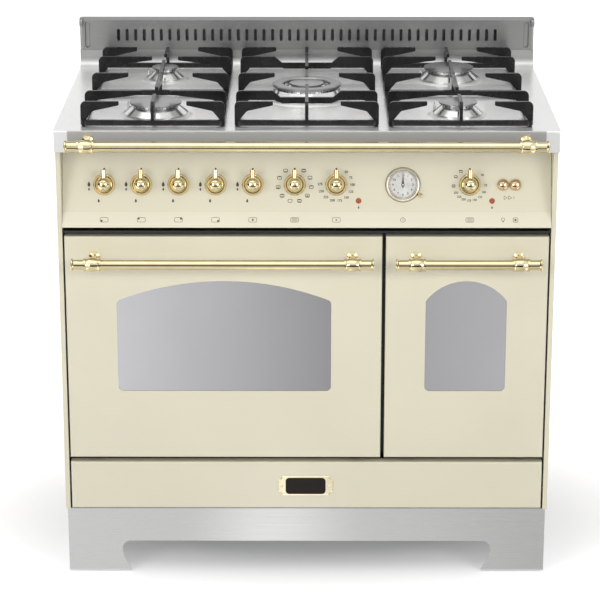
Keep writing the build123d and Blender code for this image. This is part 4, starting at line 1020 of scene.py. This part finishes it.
@step
class COOKER_OT_make_nameplate(Operator):
    """A bare brass plate with hollowed corners, a dark field and two rivets on the drawer."""
    bl_idname = "cooker.make_nameplate"
    bl_label = "Make nameplate"

    def execute(self, context):
        looks, marks, _ = settings(context)
        low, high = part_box("drawer_front")
        place = stand((-0.0015, low.y, (low.z + high.z) / 2 - 0.001), RIGHT, UP)
        half_w, half_h = marks.plate_width / 2, marks.plate_height / 2
        outline = cornered(half_w, half_h, 7.5 * MM, 6, hollow=True)
        plate = bmesh.new()
        slab(plate, place, outline, mm((0.02, 0), (1.1, 0), (1.6, 0.5), (1.6, 1.1), (1.2, 1.5)))
        for x in (-half_w + 6.5 * MM, half_w - 6.5 * MM):
            rivet = place @ Matrix.Translation((x, 0, 1.25 * MM))
            lathe(plate, rivet, mm((2.6, 0), (2.5, 0.5), (1.9, 1.1), (1.0, 1.45), (0, 1.55)), 20)
        # Painted light: the plate's brass is set paler than the other brass
        bright = polished_finish("plate_brass", looks.plate, looks.brass_roughness * 2)
        add_piece("nameplate", plate, [bright], "drawer", smooth=False)
        field = bmesh.new()
        slab(field, place, cornered(37 * MM, 16 * MM, 7 * MM, 6), mm((1.15, 0), (1.5, 0), (1.7, 0.3)))
        black = speckled_finish("plate_enamel", (0.016, 0.012, 0.010), (0.03, 0.025, 0.02), 0.3, 0.15)
        add_piece("nameplate_field", field, [black], "drawer", smooth=False)
        return {"FINISHED"}


@step
class COOKER_OT_make_igniters(Operator):
    """A ceramic electrode with a wire tip beside each burner crown."""
    bl_idname = "cooker.make_igniters"
    bl_label = "Make igniters"

    def execute(self, context):
        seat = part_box("burner_crowns")[0].z + IGNITER_SEAT
        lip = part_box("hob_top")[0].y
        bm = bmesh.new()
        for side, behind, radius in CROWNS:
            reach = radius + IGNITER_GAP
            x = middle_x(f"{side}_pan_support") + reach * cos(IGNITER_TURN)
            place = Matrix.Translation((x, lip + behind + reach * sin(IGNITER_TURN), seat))
            lathe(bm, place, mm((2.9, 0), (2.9, 6), (2.2, 7), (2.2, 10), (1.2, 11), (0.7, 11.1)), 16)
            lathe(bm, place, mm((0.8, 10.5), (0.8, 14.5), (0.5, 15.5), (0, 15.6)), 12, 1)
        ceramic = dull_finish("white_ceramic", (0.72, 0.71, 0.68), 0.3, 700.0, 0.05)
        tip = polished_finish("electrode_wire", (0.45, 0.44, 0.43), 0.3, 300.0)
        add_piece("igniter_electrodes", bm, [ceramic, tip], "cooker")
        return {"FINISHED"}


@step
class COOKER_OT_make_screws(Operator):
    """Screws with sunk heads round the back panel and along the splashback's rear."""
    bl_idname = "cooker.make_screws"
    bl_label = "Make screws"

    def execute(self, context):
        def row(low, high, count):
            span = high.x - low.x - 2 * SCREW_INSET
            return [low.x + SCREW_INSET + span * i / (count - 1) for i in range(count)]

        low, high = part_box("back_panel")
        spots = []
        for x in row(low, high, 6):
            spots += [(x, high.y, low.z + 0.012), (x, high.y, high.z - 0.03)]
        for i in range(1, 4):
            z = low.z + (high.z - low.z) * i / 4
            spots += [(low.x + SCREW_INSET, high.y, z), (high.x - SCREW_INSET, high.y, z)]
        low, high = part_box("splashback")
        spots += [(x, high.y, low.z + 0.02) for x in row(low, high, 5)]
        head = mm((3.6, 0), (3.6, 0.6), (3.0, 1.4), (1.9, 1.8), (1.7, 1.0), (0, 0.9))
        bm = bmesh.new()
        for spot in spots:
            lathe(bm, stand(spot, (-1, 0, 0), UP), head, 16)
        plated = polished_finish("plated_screw", (0.6, 0.6, 0.6), 0.25, 200.0)
        add_piece("rear_screws", bm, [plated], "cooker")
        return {"FINISHED"}


@step
class COOKER_OT_set_studio(Operator):
    """White floor and world, soft lights, cards for the metal to mirror, and the camera."""
    bl_idname = "cooker.set_studio"
    bl_label = "Set studio"

    def execute(self, context):
        _, _, studio = settings(context)
        scene = context.scene
        scene.view_settings.view_transform = "Standard"
        world = bpy.data.worlds.new("studio")
        world.use_nodes = True
        scene.world = world
        wiring = Wiring(world.node_tree)
        back = world.node_tree.nodes["Background"]
        wiring.put(back.inputs["Color"], (1, 1, 1, 1))
        wiring.put(back.inputs["Strength"], wiring.spread(wiring.seen_directly(), studio.ambient, 1.0, 0, 1))
        self.add_floor()
        self.add_dim_floor()
        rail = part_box("front_rail")[0]
        flag = rail.z - 0.22
        for name, place, size, aim, felt, tone in (
            ("rail_flag", (0, rail.y - 0.6, flag), (1.1, 0.29), (0, 0, flag), "black_felt", 0.03),
            ("front_wall", (0, -7.0, 2.4), (16, 3.4), (0, 0, 2.4), "grey_felt", 0.75),
            ("rear_card", (0, 2.6, 4.6), (8, 3.0), (0, 0, 0.75), "pale_felt", 0.5),
            ("left_card", (-4.5, -1.5, 1.2), (3.0, 2.6), (0, 0, 0.7), "black_felt", 0.03),
            ("side_wall_1", (-6, 0.6, 1.6), (7.0, 3.2), (0, 0.6, 1.6), "side_felt", 0.3),
            ("side_wall_3", (6, 0.6, 1.6), (7.0, 3.2), (0, 0.6, 1.6), "side_felt", 0.3),
        ):
            self.add_card(name, place, size, aim, felt, tone)
        self.add_light("overhead", (-0.6, -1.2, 4.2), (0, 0.1, 0.8), (4.5, 3.0), studio.key)
        self.add_light("front_left", (-3.0, -4.2, 1.9), (0, 0, 0.6), (2.2, 2.2), studio.fill)
        self.add_light("front_right", (3.2, -3.9, 1.9), (0, 0, 0.6), (2.0, 2.2), studio.fill * 0.85)
        strip = self.add_light("panel_strip", (0, -0.85, 0.87), (0, -0.25, 0.77), (1.2, 0.1), studio.strip)
        strip.visible_glossy = False
        camera = add_object("camera", bpy.data.cameras.new("camera"))
        camera.data.sensor_width = 36
        camera.data.lens = studio.lens
        camera.data.clip_end = 200
        camera.location = (0, -studio.distance, studio.height)
        camera.rotation_euler = (pi / 2 - studio.pitch, 0, studio.yaw)
        scene.camera = camera
        return {"FINISHED"}

    def add_floor(self):
        """A wide floor that glows a little to the eye but still takes the shadow."""
        bm = bmesh.new()
        bmesh.ops.create_grid(bm, x_segments=8, y_segments=8, size=40)
        floor = add_object("floor", mesh_from("floor", bm))
        made = Finish("white_floor", 0.9)
        base = made.toned(made.cloud(0.5), (0.84, 0.84, 0.84), (0.82, 0.82, 0.82))
        made.set(Base_Color=base, Specular_IOR_Level=0.0)
        squashed = made.node("Mapping", Vector=made.place(), Scale=(0.6, 1, 1)).outputs["Vector"]
        reach = made.node("VectorMath", {"operation": "LENGTH"}, Vector=squashed).outputs["Value"]
        strength = made.reckon("MULTIPLY", made.seen_directly(), made.spread(reach, 0.1, 0.9, 0.17, 0.7))
        glow = made.node("Emission", Color=(1, 1, 1, 1), Strength=strength)
        both = made.node("AddShader")
        for socket, shader in zip(both.inputs, (made.shader, glow)):
            made.put(socket, shader.outputs[0])
        made.put(made.tree.nodes["Material Output"].inputs["Surface"], both.outputs[0])
        floor.data.materials.append(made.material)

    def mirror_only(self, name, place, size):
        """A flat stage piece that only mirrors see."""
        bm = bmesh.new()
        bmesh.ops.create_grid(bm, x_segments=2, y_segments=2, size=0.5)
        card = add_object(name, mesh_from(name, bm))
        card.location = place
        card.scale = (*size, 1)
        for ray in ("camera", "diffuse", "transmission", "shadow"):
            setattr(card, f"visible_{ray}", False)
        return card

    def aim_at(self, item, aim, axis):
        """Turns a thing so that one of its axes points at a spot."""
        item.rotation_mode = "QUATERNION"
        item.rotation_quaternion = (Vector(aim) - item.location).to_track_quat(axis, "Y")

    def add_card(self, name, place, size, aim, felt, tone):
        """A card facing the cooker, as bright as its tone says whatever the light."""
        def shade(made):
            return made.toned(made.cloud(2.0), (tone, tone, tone), scaled((tone, tone, tone), 0.8))

        card = self.mirror_only(name, place, size)
        self.aim_at(card, aim, "Z")
        card.data.materials.append(bpy.data.materials.get(felt) or glow_finish(felt, shade))

    def add_dim_floor(self):
        """The floor in front as upright metal and glass mirror it, with a bright patch close by."""
        far = ((0.0, 0.92), (0.44, 0.90), (0.56, 0.74), (1.0, 0.70))
        near = ((0.12, 0.80), (0.32, 0.78), (0.45, 1.16), (0.60, 0.76), (0.85, 0.58))
        for name, place, size, levels in (
            ("far_floor", (0, -3.9, 0.002), (9.0, 6.0), far),
            ("near_floor", (0, -0.578, 0.003), (1.4, 0.64), near),
        ):
            def shade(made):
                across = made.spread(made.split(made.place())["X"], 0, 1, -0.5, 0.5)
                return made.ramp(across, [(where, (level,) * 3) for where, level in levels], "EASE")

            card = self.mirror_only(name, place, size)
            card.data.materials.append(glow_finish(name, shade))

    def add_light(self, name, place, aim, size, watts):
        """A soft rectangular light that the camera does not see."""
        light = bpy.data.lights.new(name, "AREA")
        light.shape = "RECTANGLE"
        light.size, light.size_y = size
        light.energy = watts
        lamp = add_object(name, light)
        lamp.location = place
        self.aim_at(lamp, aim, "-Z")
        lamp.visible_camera = False
        return lamp


class VIEW3D_PT_cooker(Panel):
    """The cooker's sizes, colours and operators."""
    bl_label = "Range cooker"
    bl_idname = "VIEW3D_PT_cooker"
    bl_space_type = "VIEW_3D"
    bl_region_type = "UI"
    bl_category = "Cooker"

    def draw(self, context):
        for operator in OPERATORS:
            self.layout.operator(operator.bl_idname)
        for group in settings(context):
            box = self.layout.box()
            for name in group.__annotations__:
                box.prop(group, name)


CLASSES = (*SETTINGS.values(), *OPERATORS, VIEW3D_PT_cooker)


def register():
    for item in CLASSES:
        bpy.utils.register_class(item)
    for name, group in SETTINGS.items():
        setattr(Scene, name, PointerProperty(type=group))


def unregister():
    for name in SETTINGS:
        delattr(Scene, name)
    for item in reversed(CLASSES):
        bpy.utils.unregister_class(item)


def main():
    register()
    for operator in OPERATORS:
        group, name = operator.bl_idname.split(".")
        getattr(getattr(bpy.ops, group), name)()


if __name__ == "__main__":
    main()
